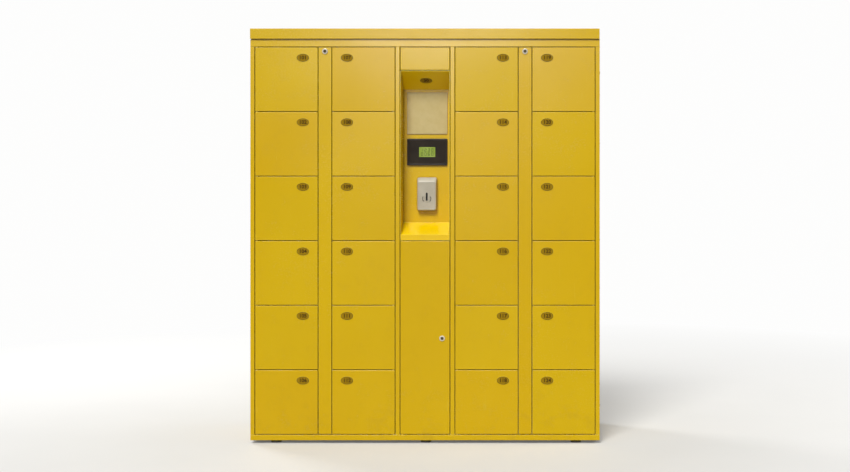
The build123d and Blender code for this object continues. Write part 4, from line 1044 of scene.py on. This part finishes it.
FLOOR_HALF = 30
floor_mesh = bpy.data.meshes.new("floor")
builder = bmesh.new()
bmesh.ops.create_grid(builder, x_segments=1, y_segments=1, size=FLOOR_HALF)
builder.to_mesh(floor_mesh)
builder.free()
floor_mesh.materials.append(floor_pale())
new_object("floor", floor_mesh)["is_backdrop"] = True

bpy.context.scene.view_settings.view_transform = "Standard"

# A white backdrop for the camera; a dimmer room, brighter overhead, for the light.
world = bpy.data.worlds.new("studio")
bpy.context.scene.world = world
world.use_nodes = True
world_tree = world.node_tree
background = world_tree.nodes["Background"]
background.inputs["Color"].default_value = BACKDROP
add = node_adder(world_tree)
direction = add("ShaderNodeTexCoord").outputs["Generated"]
upward = add("ShaderNodeSeparateXYZ", {"Vector": direction}).outputs["Z"]
room = remap(add, upward, 0.02, 0.7, 0.04, 0.24)
seen = add("ShaderNodeLightPath").outputs["Is Camera Ray"]
feed(background.inputs["Strength"], remap(add, seen, 0, 1, room, 1.0))


def new_lamp(name, kind, power, tint, direction):
    """A lamp at the origin that shines along a direction."""
    lamp = bpy.data.lights.new(name, kind)
    lamp.energy = power
    lamp.color = tint
    holder = new_object(name, lamp)
    holder.rotation_euler = direction.to_track_quat("-Z", "Y").to_euler()
    return holder


def area_light(name, place, target, size, power, tint=(1, 1, 1)):
    """A rectangular lamp at a place, turned to a target."""
    holder = new_lamp(name, "AREA", power, tint, Vector(target) - Vector(place))
    holder.location = place
    holder.data.shape = "RECTANGLE"
    holder.data.size, holder.data.size_y = size
    return holder


def receivers(name, things):
    """A collection that a light can be limited to."""
    limited = bpy.data.collections.new(name)
    for thing in things:
        limited.objects.link(thing)
    return limited


sun = new_lamp("main", "SUN", 2.98, (1.0, 0.995, 0.97), Vector((0.14, 0.67, -0.74)))
sun.data.angle = math.radians(24)
area_light("overhead", (-0.3, -1.9, 4.9), (-0.1, -0.6, 0), (4.5, 1.6), 10)
area_light("fill", (3.3, -4.6, 3.2), (0, 0, 0.9), (2.4, 2.0), 12)

# Two soft boxes that only show as a sheen on the enamel: one high, one tall and narrow.
meshes = [thing for thing in bpy.context.scene.objects if thing.type == "MESH" and thing.data.materials]
enamel = MATERIALS["yellow_enamel"]
enamelled = receivers("enamelled", [thing for thing in meshes if thing.data.materials[0] == enamel])
for sheen in (area_light("sheen_high", (-1.0, -9.5, 3.1), (0, 0, 1.6), (2.2, 1.0), 150),
              area_light("sheen_tall", (-0.7, -9.6, 1.9), (0, 0, 1.2), (0.8, 3.4), 14)):
    sheen.visible_diffuse = False
    sheen.light_linking.receiver_collection = enamelled

# Two lights that only reach the alcove: a low one for its soffit, and one from above for its sill.
alcove_only = receivers("alcove_only", [NODES["alcove_surround"]])
low_light = area_light("low", (0, -2.2, 0.25), (0, -0.2, 1.7), (1.0, 0.5), 10)
above_light = area_light("above", (-0.2, -0.75, 2.9), (0, -0.2, 1.0), (0.5, 0.4), 13, (0.6, 1.0, 0.5))
for alcove_light in (low_light, above_light):
    alcove_light.light_linking.receiver_collection = alcove_only

# Two for the back and one side, which don't show as glare in the enamel.
area_light("back", (-3.6, 3.0, 3.0), (0, 0, 1.0), (1.6, 1.6), 150).visible_glossy = False
area_light("side", (4.4, 0.1, 2.6), (0.8, 0, 1.0), (1.6, 1.6), 60).visible_glossy = False

EYE = Vector((0.76, -7.15, 1.40))
FRAME_WIDTH = 3.95                      # metres across the picture at the doors' plane
camera_data = bpy.data.cameras.new("camera")
camera = new_object("camera", camera_data)
bpy.context.scene.camera = camera
camera.location = EYE
camera.rotation_euler = (math.radians(90), 0, 0)
camera_data.lens = camera_data.sensor_width * (FRONT - EYE.y) / FRAME_WIDTH
middle_z = (body_low.z + body_high.z) / 2


def shift_at_home(channel, amount):
    """Lens shift that keeps uprights upright, only while the camera stands at its home place."""
    driver = camera_data.driver_add(channel).driver
    driver.type = "SCRIPTED"
    place = driver.variables.new()
    place.name = "place"
    place.type = "TRANSFORMS"
    place.targets[0].id = camera
    place.targets[0].transform_type = "LOC_Y"
    place.targets[0].transform_space = "WORLD_SPACE"
    driver.expression = f"{amount:.5f} if abs(place - {EYE.y:.5f}) < 0.001 else 0"


shift_at_home("shift_x", -EYE.x / FRAME_WIDTH)
shift_at_home("shift_y", (middle_z - EYE.z) / FRAME_WIDTH)

low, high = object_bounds()
